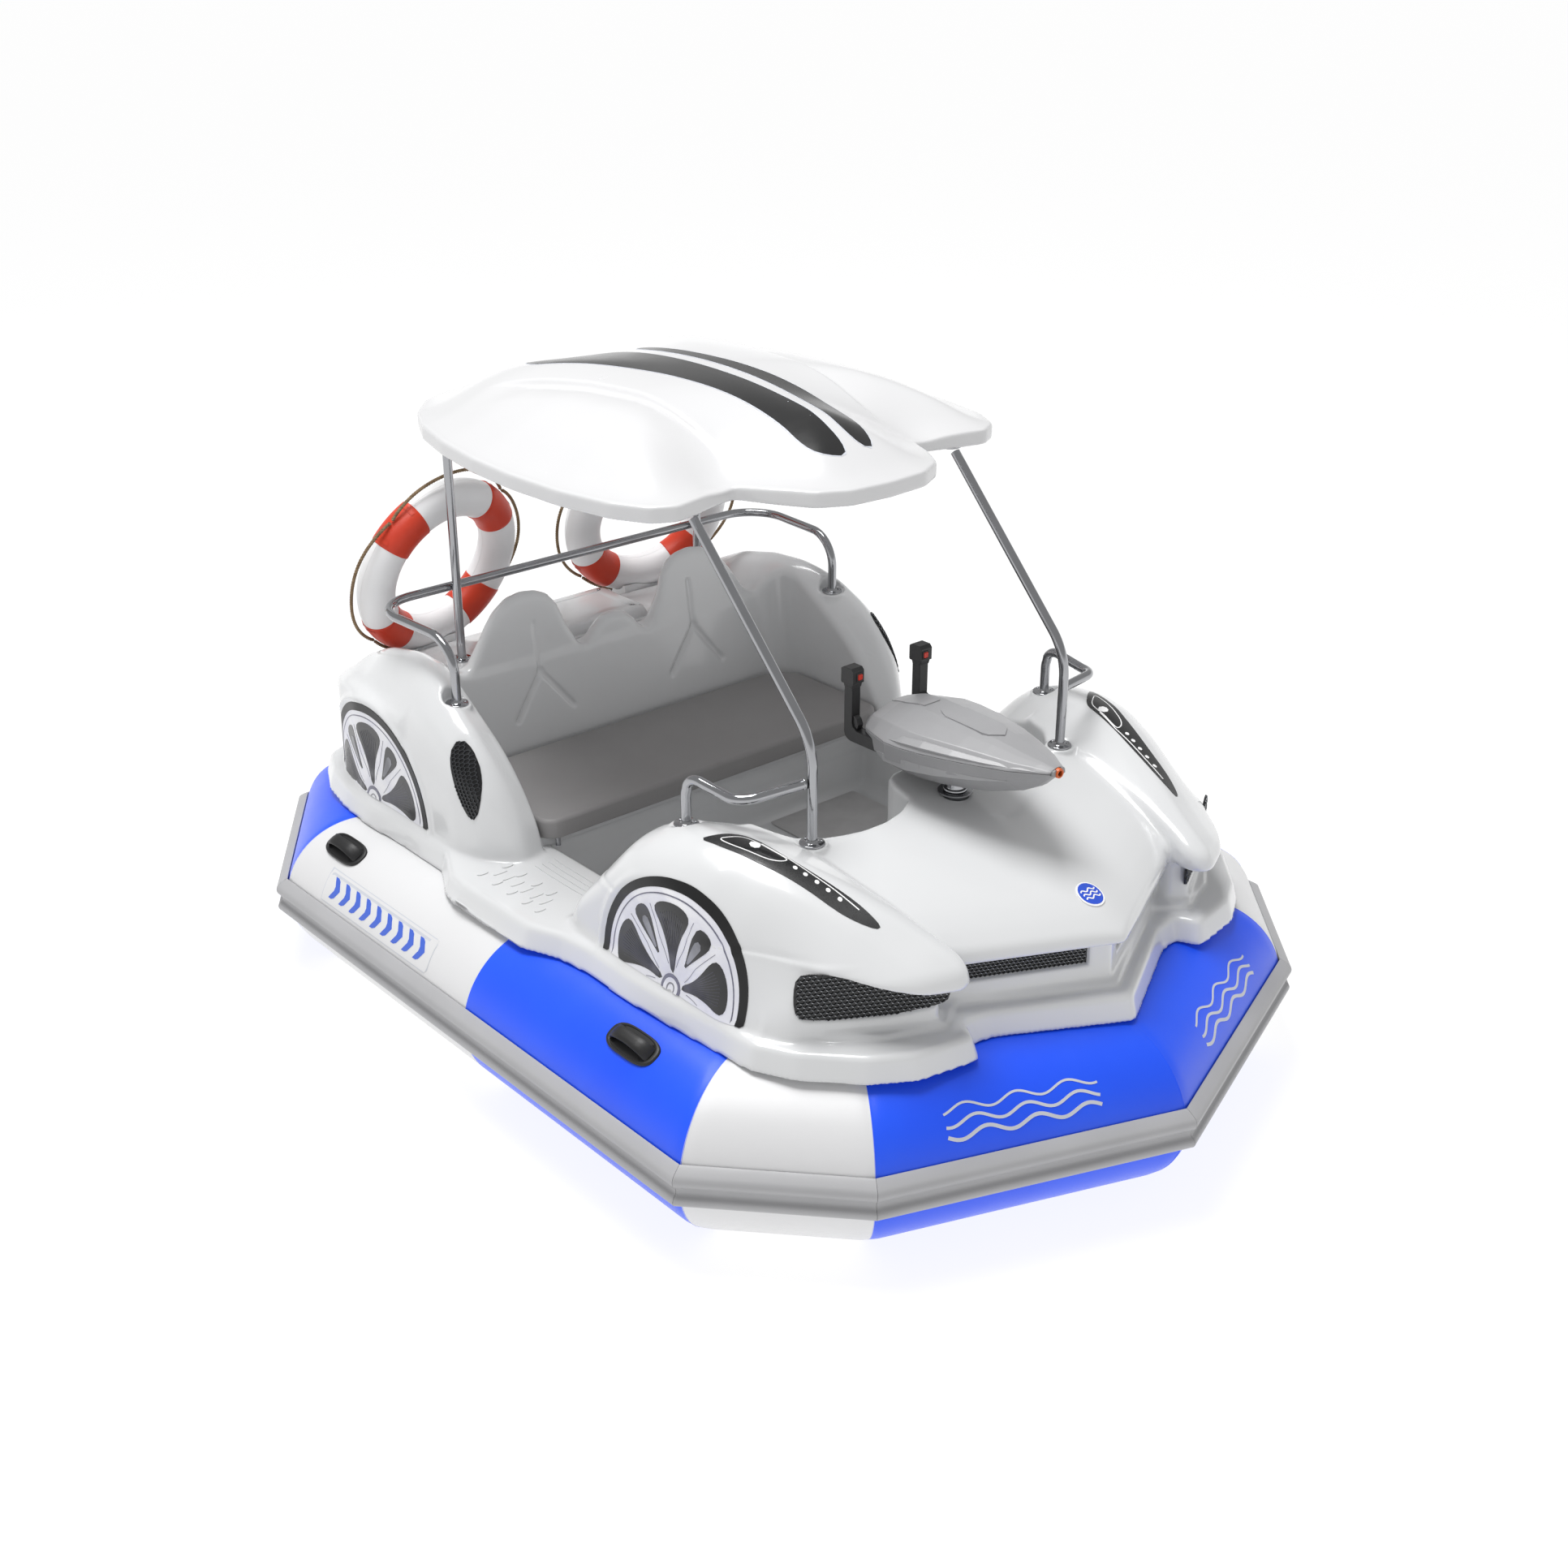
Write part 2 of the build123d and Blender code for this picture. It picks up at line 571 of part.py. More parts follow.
lamps = []
for s in (-1, 1):
    with BuildPart() as lamp:
        with BuildSketch(Plane(origin=(s * 655, -700, 812), x_dir=(0, 1, 0), z_dir=(s * 0.42, -0.24, 0.87))):
            with BuildLine():
                Polyline(*[(u, v) for u, v in ((-225, s * 62), (-120, s * -10), (40, s * -38), (150, s * -40), (205, s * -30),
                                               (150, s * -2), (20, s * 28), (-110, s * 46))], close=True)
            make_face()
        extrude(amount=3)
    lamps += list(lamp.part.solids())
save(Compound(children=lamps), "headlight_panels")

bt = math.atan2(67, 114)
with BuildPart() as nose_badge:
    with BuildSketch(Plane(origin=(0, -1088, 704.6), x_dir=(1, 0, 0), z_dir=(0, -math.sin(math.atan2(32, 108)), math.cos(math.atan2(32, 108))))):
        Circle(36)
    extrude(amount=4)
    fillet(nose_badge.faces().sort_by(Axis.Z)[-1].edges(), 1.5)
save(nose_badge.part, "nose_badge")

# ------------------------------------------------------------------ stainless pipework
def pipe(points, radii, r=PIPE_R):
    p0, p1 = Vector(*points[0]), Vector(*points[1])
    with BuildPart() as pp:
        with BuildLine() as path:
            if len(points) == 2:
                Line(points[0], points[1])
            else:
                FilletPolyline(*points, radius=radii)
        with BuildSketch(Plane(origin=p0, z_dir=(p1 - p0))):
            Circle(r)
            Circle(r - 1.5, mode=Mode.SUBTRACT)
        sweep(path=path.line if hasattr(path, "line") else path.wire())
    return pp.part


def mirror_pts(pts):
    return [(-x, y, z) for x, y, z in pts]


FRONT_POST = [(429, -601, 740), (429, -601, 1041), (433, -183.5, 1475)]
save(Compound(children=[pipe(FRONT_POST, 170), pipe(mirror_pts(FRONT_POST), 170)]), "front_posts")
REAR_POST = [(430, 896, 740), (430, 896, 1485)]
save(Compound(children=[pipe(REAR_POST, 0), pipe(mirror_pts(REAR_POST), 0)]), "rear_posts")
RAIL = [(-669, 542, 800), (-669, 542, 1014), (-690, 921.5, 1014), (690, 921.5, 1014), (669, 542, 1014), (669, 542, 800)]
save(pipe(RAIL, (95, 120, 120, 95)), "rear_grab_rail")
LOOP = [(620, -371, 780), (620, -371, 940), (600, -556, 937), (443.5, -590, 940)]
save(Compound(children=[pipe(LOOP, (55, 60)), pipe(mirror_pts(LOOP), (55, 60))]), "front_loops")

FEET = [(429, -601, 786.2), (620, -371, 812.2), (669, 542, 842.2), (430, 896, 800.5)]
flanges, screws = [], []
for (x, y, z) in FEET:
    for s in (-1, 1):
        with BuildPart() as fl:
            with BuildSketch(Plane.XY.offset(z)):
                with Locations((s * x, y)):
                    Circle(31)
                    Circle(PIPE_R + 0.2, mode=Mode.SUBTRACT)
                    with PolarLocations(22.5, 3, start_angle=90):
                        Circle(2.6, mode=Mode.SUBTRACT)
            extrude(amount=4)
        flanges += list(fl.part.solids())
        with BuildPart() as sc:
            with BuildSketch(Plane.XY.offset(z - 8)):
                with Locations((s * x, y)):
                    with PolarLocations(22.5, 3, start_angle=90):
                        Circle(2.5)
            extrude(amount=12)
            with BuildSketch(Plane.XY.offset(z + 4.1)):
                with Locations((s * x, y)):
                    with PolarLocations(22.5, 3, start_angle=90):
                        Circle(4.5)
            extrude(amount=2.4)
            with BuildSketch(Plane.XY.offset(z + 3.9)):
                with Locations((s * x, y)):
                    with PolarLocations(22.5, 3, start_angle=90):
                        Circle(2.5)
            extrude(amount=1)
        screws += list(sc.part.solids())
for (x, y) in ((433, -175), (430, 896)):
    for s in (-1, 1):
        with BuildPart() as fl:
            with BuildSketch(Plane.XY.offset(1485.4)):
                with Locations((s * x, y + (12 if y < 0 else 0))):
                    Circle(31)
            extrude(amount=4)
        flanges += list(fl.part.solids())
save(Compound(children=flanges), "pipe_flanges")
save(Compound(children=screws), "flange_screws")

# ------------------------------------------------------------------ canopy
CAN_HALF = [(0, -402), (120, -392), (200, -350), (255, -262), (300, -170), (360, -182), (438, -206), (505, -222), (565, -190),
            (612, -100), (645, 60), (655, 250), (646, 430), (618, 610), (575, 770), (510, 900), (430, 990), (320, 1042), (200, 1040),
            (90, 1005), (0, 985)]
can_plan = both(CAN_HALF)
CAN_PROF = [(-402, CANOPY_Z), (-402, 1536), (-330, 1585), (-235, 1630), (-100, 1650), (60, 1668), (240, 1679), (450, 1676), (620, 1662),
            (778, 1637), (920, 1603), (1042, 1562), (1042, CANOPY_Z)]
CAN_SECT = [(-655, CANOPY_Z), (-655, 1530), (-620, 1568), (-540, 1610), (-430, 1640), (-300, 1657), (-200, 1668), (0, 1680),
            (200, 1668), (300, 1657), (430, 1640), (540, 1610), (620, 1568), (655, 1530), (655, CANOPY_Z)]
can_outer = envelope(can_plan, CAN_PROF, CAN_SECT, CANOPY_Z, 1700)
can_inner = envelope(inset(can_plan, 7), drop(inset(CAN_PROF, 7), CANOPY_Z + 12, CANOPY_Z - 10),
                     drop(inset(CAN_SECT, 7), CANOPY_Z + 12, CANOPY_Z - 10), CANOPY_Z + 6, 1700)
with BuildPart() as canopy_shell:
    add(can_outer)
    add(can_inner, mode=Mode.SUBTRACT)
save(canopy_shell.part, "canopy_shell")

# ------------------------------------------------------------------ seat board
with BuildPart() as seat_cushion:
    with BuildSketch(Plane.XY.offset(SEAT_Z0)):
        with Locations((0, 463)):
            RectangleRounded(1210, 434, 30)
    extrude(amount=SEAT_Z1 - SEAT_Z0)
    fillet(seat_cushion.faces().sort_by(Axis.Z)[-1].edges(), 10)
save(seat_cushion.part, "seat_cushion")

with BuildPart() as seat_pegs:
    with BuildSketch(Plane.XY.offset(DECK_Z + 2.5)):
        with Locations((-560, 262), (560, 262)):
            Circle(7)
    extrude(amount=SEAT_Z0 - DECK_Z - 2.8)
save(seat_pegs.part, "seat_pegs")

# ------------------------------------------------------------------ life rings
ra, re = math.radians(8.3), math.radians(18.5)


def ring_normal(s):
    return Vector(s * math.sin(ra) * math.cos(re), math.cos(ra) * math.cos(re), math.sin(re))


def ring_plane(s):
    n = ring_normal(s)
    return Plane(origin=(s * RING_C[0], RING_C[1], RING_C[2]), x_dir=Vector(0, 0, 1).cross(n), z_dir=n)


def ring_body(s):
    rp = ring_plane(s)
    with BuildPart() as rb:
        with BuildSketch(Plane(origin=rp.origin, x_dir=rp.x_dir, z_dir=rp.y_dir)):
            with Locations((RING_R, 0)):
                Circle(RING_r)
        revolve(axis=Axis(rp.origin, rp.z_dir), revolution_arc=360)
    return rb.part


for s, nm in ((-1, "life_ring_stbd"), (1, "life_ring_port")):
    save(ring_body(s), nm)

BAND_ANG = (45, 135, 225, 315)


def band(s, ang, r0, r1, width):
    rp = ring_plane(s)
    a = math.radians(ang - width / 2)
    xd = rp.x_dir * math.cos(a) + rp.y_dir * math.sin(a)
    yd = rp.z_dir.cross(xd)
    with BuildPart() as b:
        with BuildSketch(Plane(origin=rp.origin, x_dir=xd, z_dir=-yd)):
            with Locations((RING_R, 0)):
                Circle(r1)
                Circle(r0, mode=Mode.SUBTRACT)
        revolve(axis=Axis(rp.origin, rp.z_dir), revolution_arc=width)
    return list(b.part.solids())


bands = []
for s in (-1, 1):
    for a in BAND_ANG:
        bands += band(s, a, RING_r + 0.3, RING_r + 2.3, 30)
save(Compound(children=bands), "ring_bands")

ropes = []
ROPE_r = 5.0
for s in (-1, 1):
    rp = ring_plane(s)
    for a in BAND_ANG:
        def at(deg, rad):
            t = math.radians(deg)
            return rp.origin + (rp.x_dir * math.cos(t) + rp.y_dir * math.sin(t)) * rad
        sag = 9 if a == 225 else 34
        p0, pm, p1 = at(a + 1.5, RING_R + RING_r + 9), at(a + 45, RING_R + RING_r + sag), at(a + 88.5, RING_R + RING_r + 9)
        with BuildPart() as rope:
            with BuildLine() as rl:
                arc = ThreePointArc(p0, pm, p1)
            with BuildSketch(Plane(origin=p0, z_dir=arc % 0)):
                Circle(ROPE_r)
            sweep(path=rl.line)
        ropes += list(rope.part.solids())
save(Compound(children=ropes), "ring_ropes")

cradles = []
for s in (-1, 1):
    n = ring_normal(s)
    with BuildPart() as cr:
        with BuildSketch(Plane.XY.offset(753)):
            with Locations((s * (RING_C[0]), 1150)):
                Rectangle(150, 96)
        extrude(amount=40)
        add(rear_deck_skin, mode=Mode.SUBTRACT)
        rp = ring_plane(s)
        with BuildSketch(Plane(origin=rp.origin, x_dir=rp.x_dir, z_dir=rp.y_dir)):
            with Locations((RING_R, 0)):
                Circle(RING_r + 0.6)
        revolve(axis=Axis(rp.origin, rp.z_dir), revolution_arc=360, mode=Mode.SUBTRACT)
        with BuildSketch(Plane(origin=rp.origin, x_dir=rp.x_dir, z_dir=rp.y_dir)):
            with Locations((RING_R + RING_r + 9, 0)):
                Circle(ROPE_r + 2)
        revolve(axis=Axis(rp.origin, rp.z_dir), revolution_arc=360, mode=Mode.SUBTRACT)
    cradles.append(sorted(cr.part.solids(), key=lambda q: q.volume)[-1])
save(Compound(children=cradles), "ring_cradles")

# ------------------------------------------------------------------ steering console
with BuildPart() as column_bearing:
    with BuildSketch(Plane.XY.offset(690)):
        with Locations((0, COL_Y)):
            Circle(34)
            Circle(COL_R + FIT, mode=Mode.SUBTRACT)
    extrude(amount=116)
    with BuildSketch(Plane.XY.offset(804.2)):
        with Locations((0, COL_Y)):
            Circle(44)
            Circle(COL_R + FIT, mode=Mode.SUBTRACT)
    extrude(amount=5)
save(column_bearing.part, "column_bearing")

with BuildPart() as console_column:
    with BuildSketch(Plane.XY.offset(600)):
        with Locations((0, COL_Y)):
            Circle(COL_R)
            Circle(COL_R - 3, mode=Mode.SUBTRACT)
    extrude(amount=262)
    with BuildSketch(Plane.XY.offset(809.7)):
        with Locations((0, COL_Y)):
            Circle(30)
            Circle(COL_R - 1, mode=Mode.SUBTRACT)
    extrude(amount=6)
save(console_column.part, "console_column")

POD_PLAN = [(0, -966), (26, -962), (75, -880), (128, -740), (156, -610), (154, -548), (112, -440), (62, -398), (0, -396)]
POD_PLAN = POD_PLAN + [(-x, y) for x, y in reversed(POD_PLAN) if x > 0]
POD_PLAN = POD_PLAN[1:] if False else POD_PLAN
POD_LOW = [(-966, 957), (-927, 917), (-806, 866), (-637, 834), (-486, 823), (-425, 850), (-396, 902), (-396, 932), (-966, 962)]
POD_LSEC = [(-156, 945), (-150, 900), (-70, 834), (-30, 822), (30, 822), (70, 834), (150, 900), (156, 945), (156, 965), (-156, 965)]
POD_TOP = [(-966, 962.4), (-396, 932.4), (-396, 940), (-440, 985), (-541, 1010), (-746, 1008), (-880, 992), (-966, 978)]
POD_USEC = [(-156, 925), (-156, 952), (-120, 985), (-70, 1002), (-40, 1011), (40, 1011), (70, 1002), (120, 985), (156, 952), (156, 925)]


def pod_cut(b, r):
    return b


pod_lo_out = envelope(POD_PLAN, POD_LOW, POD_LSEC, 800, 980)
pod_lo_in = envelope(inset(POD_PLAN, 4), inset(POD_LOW[:-2] + [(-396, 985), (-966, 985)], 4), inset(POD_LSEC[:-2] + [(156, 985), (-156, 985)], 4), 800, 990)
ARM_CUT = []
for s in (-1, 1):
    with BuildPart() as ac:
        with BuildSketch(Plane.XY.offset(893.7)):
            with Locations((s * 116, -470)):
                Rectangle(32.6, 152)
        extrude(amount=32.6)
    ARM_CUT.append(ac.part)
with BuildPart() as pod_lower_shell:
    add(pod_lo_out)
    add(pod_lo_in, mode=Mode.SUBTRACT)
    add(cylinder_cutter(0, COL_Y, 700, 858, COL_R + 0.3), mode=Mode.SUBTRACT)
    for c in ARM_CUT:
        add(c, mode=Mode.SUBTRACT)
save(pod_lower_shell.part, "pod_lower_shell")
pod_up_out = envelope(POD_PLAN, POD_TOP, POD_USEC, 900, 1020)
pod_up_in = envelope(inset(POD_PLAN, 4), inset([(-966, 900), (-396, 900)] + POD_TOP[2:], 4), inset([(-156, 900)] + POD_USEC[1:-1] + [(156, 900)], 4), 890, 1020)
with BuildPart() as pod_upper_shell:
    add(pod_up_out)
    add(pod_up_in, mode=Mode.SUBTRACT)
save(pod_upper_shell.part, "pod_upper_shell")

with BuildPart() as nose_nozzle:
    with BuildSketch(Plane.XZ.offset(966.3)):
        with Locations((0, 966)):
            Circle(12)
            Circle(7, mode=Mode.SUBTRACT)
    extrude(amount=10)
    with BuildSketch(Plane.XZ.offset(966.3)):
        with Locations((0, 966)):
            Circle(12)
    extrude(amount=4)
save(nose_nozzle.part, "nose_nozzle")


def lever(s):
    with BuildPart() as lv:
        with BuildSketch(Plane.YZ.offset(s * 116)):
            with BuildLine():
                Polyline((-545, 895), (-400, 895), (-382, 911), (-382, 1036), (-374, 1046), (-374, 1088), (-418, 1088), (-418, 1044),
                         (-410, 1036), (-410, 940), (-424, 925), (-545, 925), close=True)
            make_face()
        extrude(amount=15, both=True)
        with BuildSketch(Plane.YZ.offset(s * 116)):
            with Locations((-396, 1066)):
                Rectangle(44, 44)
        extrude(amount=19, both=True)
        with BuildSketch(Plane.XZ.offset(418)):
            with Locations((s * 112, 1064)):
                Rectangle(16, 16)
        extrude(amount=-12, mode=Mode.SUBTRACT)
    return lv.part


save(Compound(children=[lever(-1), lever(1)]), "levers")
for s, nm in ((-1, "button_stbd"), (1, "button_port")):
    with BuildPart() as btn:
        with BuildSketch(Plane.XZ.offset(421)):
            with Locations((s * 112, 1064)):
                RectangleRounded(15.2, 15.2, 1.5)
        extrude(amount=-9)
    save(btn.part, nm)

# ------------------------------------------------------------------ drive and electrics
with BuildPart() as thruster_bracket:
    with BuildSketch(Plane.XY.offset(DECK_Z + 0.2)):
        with Locations((0, THR_Y)):
            Rectangle(270, 270)
            Circle(16 + FIT, mode=Mode.SUBTRACT)
    extrude(amount=8)
    with BuildSketch(Plane.XY.offset(380)):
        with Locations((0, THR_Y)):
            Circle(27)
            Circle(16 + FIT, mode=Mode.SUBTRACT)
    extrude(amount=DECK_Z + 0.2 - 380)
save(thruster_bracket.part, "thruster_bracket")

with BuildPart() as thruster_leg:
    with BuildSketch(Plane.XY.offset(190)):
        with Locations((0, THR_Y)):
            Circle(16)
            Circle(12.5, mode=Mode.SUBTRACT)
    extrude(amount=360)
    with BuildSketch(Plane.XY.offset(DECK_Z + 8.6)):
        with Locations((0, THR_Y)):
            Circle(30)
            Circle(15, mode=Mode.SUBTRACT)
    extrude(amount=14)
save(thruster_leg.part, "thruster_leg")

with BuildPart() as thruster_motor:
    with BuildSketch(Plane.XZ.offset(-THR_Y + 100)):
        with Locations((0, THR_Z)):
            Circle(45)
    extrude(amount=-190)
    fillet(thruster_motor.faces().sort_by(Axis.Y)[0].edges(), 18)
    chamfer(thruster_motor.faces().sort_by(Axis.Y)[-1].edges(), 12)
    with BuildSketch(Plane.XY.offset(THR_Z)):
        with Locations((0, THR_Y)):
            Circle(24)
    extrude(amount=80)
    with BuildSketch(Plane.XY.offset(190)):
        with Locations((0, THR_Y)):
            Circle(16)
    extrude(amount=40, mode=Mode.SUBTRACT)
    with BuildSketch(Plane.XZ.offset(-THR_Y - 100)):
        with Locations((0, THR_Z)):
            Circle(6 + FIT)
    extrude(amount=60, mode=Mode.SUBTRACT)
save(thruster_motor.part, "thruster_motor")

with BuildPart() as skeg:
    with BuildSketch(Plane.YZ):
        with BuildLine():
            Polyline((770, 94.5), (900, 94.5), (903, 40), (880, 36), (820, 60), close=True)
        make_face()
    extrude(amount=3, both=True)
save(skeg.part, "skeg")

with BuildPart() as propeller:
    with BuildSketch(Plane.XZ.offset(-875)):
        with Locations((0, THR_Z)):
            Circle(6)
    extrude(amount=-40)
    with BuildSketch(Plane.XZ.offset(-912)):
        with Locations((0, THR_Z)):
            Circle(19)
    extrude(amount=-36)
    fillet(propeller.faces().sort_by(Axis.Y)[-1].edges(), 9)
    for k in range(3):
        a = math.radians(90 + 120 * k)
        rad = Vector(math.cos(a), 0, math.sin(a))
        tang = Vector(-math.sin(a), 0, math.cos(a))
        pit = math.radians(28)
        wide = tang * math.cos(pit) + Vector(0, 1, 0) * math.sin(pit)
        nrm = rad.cross(wide)
        with BuildSketch(Plane(origin=(0, 930, THR_Z), x_dir=rad, z_dir=nrm)):
            with BuildLine():
                Polyline((8, -10), (30, -16), (62, -26), (80, -18), (86, 2), (78, 18), (58, 24), (30, 14), (8, 10), close=True)
            make_face()
        extrude(amount=1.6, both=True)
save(propeller.part, "propeller")

packs = []
for s in (-1, 1):
    with BuildPart() as bp:
        with BuildSketch(Plane.XY.offset(35.3)):
            with Locations((s * 200, 470)):
                RectangleRounded(330, 172, 8)
        extrude(amount=212)
        with BuildSketch(Plane.XY.offset(247.3)):
            with Locations((s * 200 - 120, 430), (s * 200 + 120, 430)):
                Circle(9)
        extrude(amount=18)
    packs += list(bp.part.solids())
save(Compound(children=packs), "battery_packs")

with BuildPart() as motor_controller:
    with BuildSketch(Plane.XY.offset(35.3)):
        with Locations((430, 480)):
            RectangleRounded(110, 190, 6)
    extrude(amount=62)
    with BuildSketch(Plane.XY.offset(97.3)):
        with Locations((430, 480)):
            with GridLocations(14, 0, 7, 1):
                Rectangle(4, 180)
    extrude(amount=14)
save(motor_controller.part, "motor_controller")
print("nodes", len(os.listdir("parts")))
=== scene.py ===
# Inflatable-collar electric bumper boat: looks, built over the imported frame. Metres in the scene, millimetres in the tables below.
import math
import json

import bpy
import numpy as np
import openvdb
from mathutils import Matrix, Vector
from mathutils.bvhtree import BVHTree
from mathutils.geometry import delaunay_2d_cdt


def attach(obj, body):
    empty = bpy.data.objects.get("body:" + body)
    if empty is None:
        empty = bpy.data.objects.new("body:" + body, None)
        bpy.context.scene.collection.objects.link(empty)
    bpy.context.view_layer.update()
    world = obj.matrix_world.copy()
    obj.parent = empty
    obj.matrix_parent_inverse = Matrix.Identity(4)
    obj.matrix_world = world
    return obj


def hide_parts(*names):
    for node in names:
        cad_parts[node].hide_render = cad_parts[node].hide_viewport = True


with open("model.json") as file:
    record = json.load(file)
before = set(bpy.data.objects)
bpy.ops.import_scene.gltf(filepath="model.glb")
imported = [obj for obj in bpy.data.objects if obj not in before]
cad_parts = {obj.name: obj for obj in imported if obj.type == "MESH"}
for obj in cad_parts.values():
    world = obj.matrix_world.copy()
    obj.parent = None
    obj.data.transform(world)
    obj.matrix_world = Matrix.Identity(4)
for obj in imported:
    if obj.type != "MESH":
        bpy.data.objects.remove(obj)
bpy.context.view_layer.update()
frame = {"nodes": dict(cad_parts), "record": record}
NODES = frame["nodes"]
MM = 0.001


# ------------------------------------------------------------------ materials
def srgb(r, g, b):
    def f(c):
        c = c / 255.0
        return c / 12.92 if c <= 0.04045 else ((c + 0.055) / 1.055) ** 2.4
    return (f(r), f(g), f(b), 1.0)


def material(name, rgb, rough=0.4, metal=0.0, vary=0.03, rvary=0.05, scale=8.0, bump=0.0, bump_scale=120.0, coat=0.0,
             coat_rough=0.05, spec=0.5, tint=None, kind="noise", streak=None, wear=None, sheen=0.0, distort=0.0):
    m = bpy.data.materials.new(name)
    m.use_nodes = True
    nt = m.node_tree
    nt.nodes.clear()
    out = nt.nodes.new("ShaderNodeOutputMaterial")
    b = nt.nodes.new("ShaderNodeBsdfPrincipled")
    nt.links.new(b.outputs[0], out.inputs[0])
    b.inputs["Metallic"].default_value = metal
    b.inputs["Coat Weight"].default_value = coat
    b.inputs["Coat Roughness"].default_value = coat_rough
    b.inputs["Specular IOR Level"].default_value = spec
    b.inputs["Sheen Weight"].default_value = sheen
    tc = nt.nodes.new("ShaderNodeTexCoord")
    mp = nt.nodes.new("ShaderNodeMapping")
    nt.links.new(tc.outputs["Object"], mp.inputs[0])
    if streak:
        mp.inputs["Scale"].default_value = streak
    n1 = nt.nodes.new("ShaderNodeTexNoise")
    n1.inputs["Scale"].default_value = scale
    n1.inputs["Detail"].default_value = 5.0
    n1.inputs["Distortion"].default_value = distort
    nt.links.new(mp.outputs[0], n1.inputs["Vector"])
    ramp = nt.nodes.new("ShaderNodeValToRGB")
    base = srgb(*rgb)
    alt = srgb(*tint) if tint else tuple(max(0.0, c * (1 - vary)) for c in base[:3]) + (1.0,)
    ramp.color_ramp.elements[0].position = 0.35
    ramp.color_ramp.elements[1].position = 0.65
    ramp.color_ramp.elements[0].color = alt
    ramp.color_ramp.elements[1].color = base
    nt.links.new(n1.outputs["Fac"], ramp.inputs["Fac"])
    colour = ramp.outputs["Color"]
    if wear:
        geo = nt.nodes.new("ShaderNodeNewGeometry")
        wr = nt.nodes.new("ShaderNodeValToRGB")
        wr.color_ramp.elements[0].position = 0.53
        wr.color_ramp.elements[1].position = 0.60
        wr.color_ramp.elements[0].color = (0, 0, 0, 1)
        wr.color_ramp.elements[1].color = (1, 1, 1, 1)
        nt.links.new(geo.outputs["Pointiness"], wr.inputs["Fac"])
        mx = nt.nodes.new("ShaderNodeMix")
        mx.data_type = "RGBA"
        mx.inputs[7].default_value = srgb(*wear)
        nt.links.new(wr.outputs["Color"], mx.inputs[0])
        nt.links.new(colour, mx.inputs[6])
        colour = mx.outputs[2]
    nt.links.new(colour, b.inputs["Base Color"])
    n2 = nt.nodes.new("ShaderNodeTexNoise")
    n2.inputs["Scale"].default_value = scale * 5
    n2.inputs["Detail"].default_value = 4.0
    nt.links.new(mp.outputs[0], n2.inputs["Vector"])
    mr = nt.nodes.new("ShaderNodeMapRange")
    mr.inputs["To Min"].default_value = max(0.02, rough - rvary)
    mr.inputs["To Max"].default_value = min(1.0, rough + rvary)
    nt.links.new(n2.outputs["Fac"], mr.inputs["Value"])
    nt.links.new(mr.outputs[0], b.inputs["Roughness"])
    if bump:
        if kind == "voronoi":
            n3 = nt.nodes.new("ShaderNodeTexVoronoi")
            n3.inputs["Scale"].default_value = bump_scale
            src = n3.outputs["Distance"]
        elif kind == "weave":
            n3 = nt.nodes.new("ShaderNodeTexWave")
            n3.wave_type = "BANDS"
            n3.bands_direction = "DIAGONAL"
            n3.inputs["Scale"].default_value = bump_scale
            n3.inputs["Distortion"].default_value = 1.5
            src = n3.outputs["Fac"]
        else:
            n3 = nt.nodes.new("ShaderNodeTexNoise")
            n3.inputs["Scale"].default_value = bump_scale
            n3.inputs["Detail"].default_value = 3.0
            src = n3.outputs["Fac"]
        nt.links.new(mp.outputs[0], n3.inputs["Vector"])
        bp = nt.nodes.new("ShaderNodeBump")
        bp.inputs["Strength"].default_value = min(1.0, bump)
        bp.inputs["Distance"].default_value = 0.001
        nt.links.new(src, bp.inputs["Height"])
        nt.links.new(bp.outputs["Normal"], b.inputs["Normal"])
    return m


M = {}
M["frp_white"] = material("gelcoat_white", (221, 222, 223), 0.22, vary=0.012, scale=2.2, rvary=0.04, bump=0.05, bump_scale=14, coat=0.6, coat_rough=0.06)
# painted shade: a darker copy of the white gelcoat for the canopy, so its well-lit top does not burn out to full white
M["canopy_white"] = material("canopy_gelcoat_painted_shade", (213, 213, 214), 0.25, vary=0.012, scale=2.0, bump=0.05, bump_scale=12, coat=0.5, coat_rough=0.08)
M["hull"] = material("hull_gelcoat", (214, 216, 218), 0.35, vary=0.05, scale=4.0, bump=0.1, bump_scale=30, coat=0.2)
M["console"] = material("console_grey", (156, 156, 158), 0.38, vary=0.03, scale=9.0, bump=0.12, bump_scale=420, coat=0.15, coat_rough=0.2)
# painted shade: a darker copy of the console grey for the lower shell and the nose lips, standing in for the shade
# under the pod's top
M["console_lo"] = material("console_grey_painted_shade", (144, 144, 146), 0.40, vary=0.03, scale=9.0, bump=0.12, bump_scale=420, coat=0.1, coat_rough=0.2)
M["seat"] = material("seat_grey_skin", (150, 148, 148), 0.48, vary=0.04, scale=6.0, bump=0.25, bump_scale=620, kind="voronoi", sheen=0.1)
M["mat"] = material("mat_rubber", (198, 197, 197), 0.72, vary=0.08, scale=20.0, bump=0.4, bump_scale=300, kind="voronoi")
M["blackp"] = material("black_plastic", (34, 34, 35), 0.36, vary=0.2, scale=14.0, bump=0.15, bump_scale=500, wear=(58, 58, 60))
M["blackm"] = material("black_mesh", (22, 22, 24), 0.30, vary=0.2, scale=30.0, bump=0.1, bump_scale=200)
M["barm"] = material("mesh_bars", (70, 72, 75), 0.32, vary=0.15, scale=40.0, bump=0.1, bump_scale=300, metal=0.3)
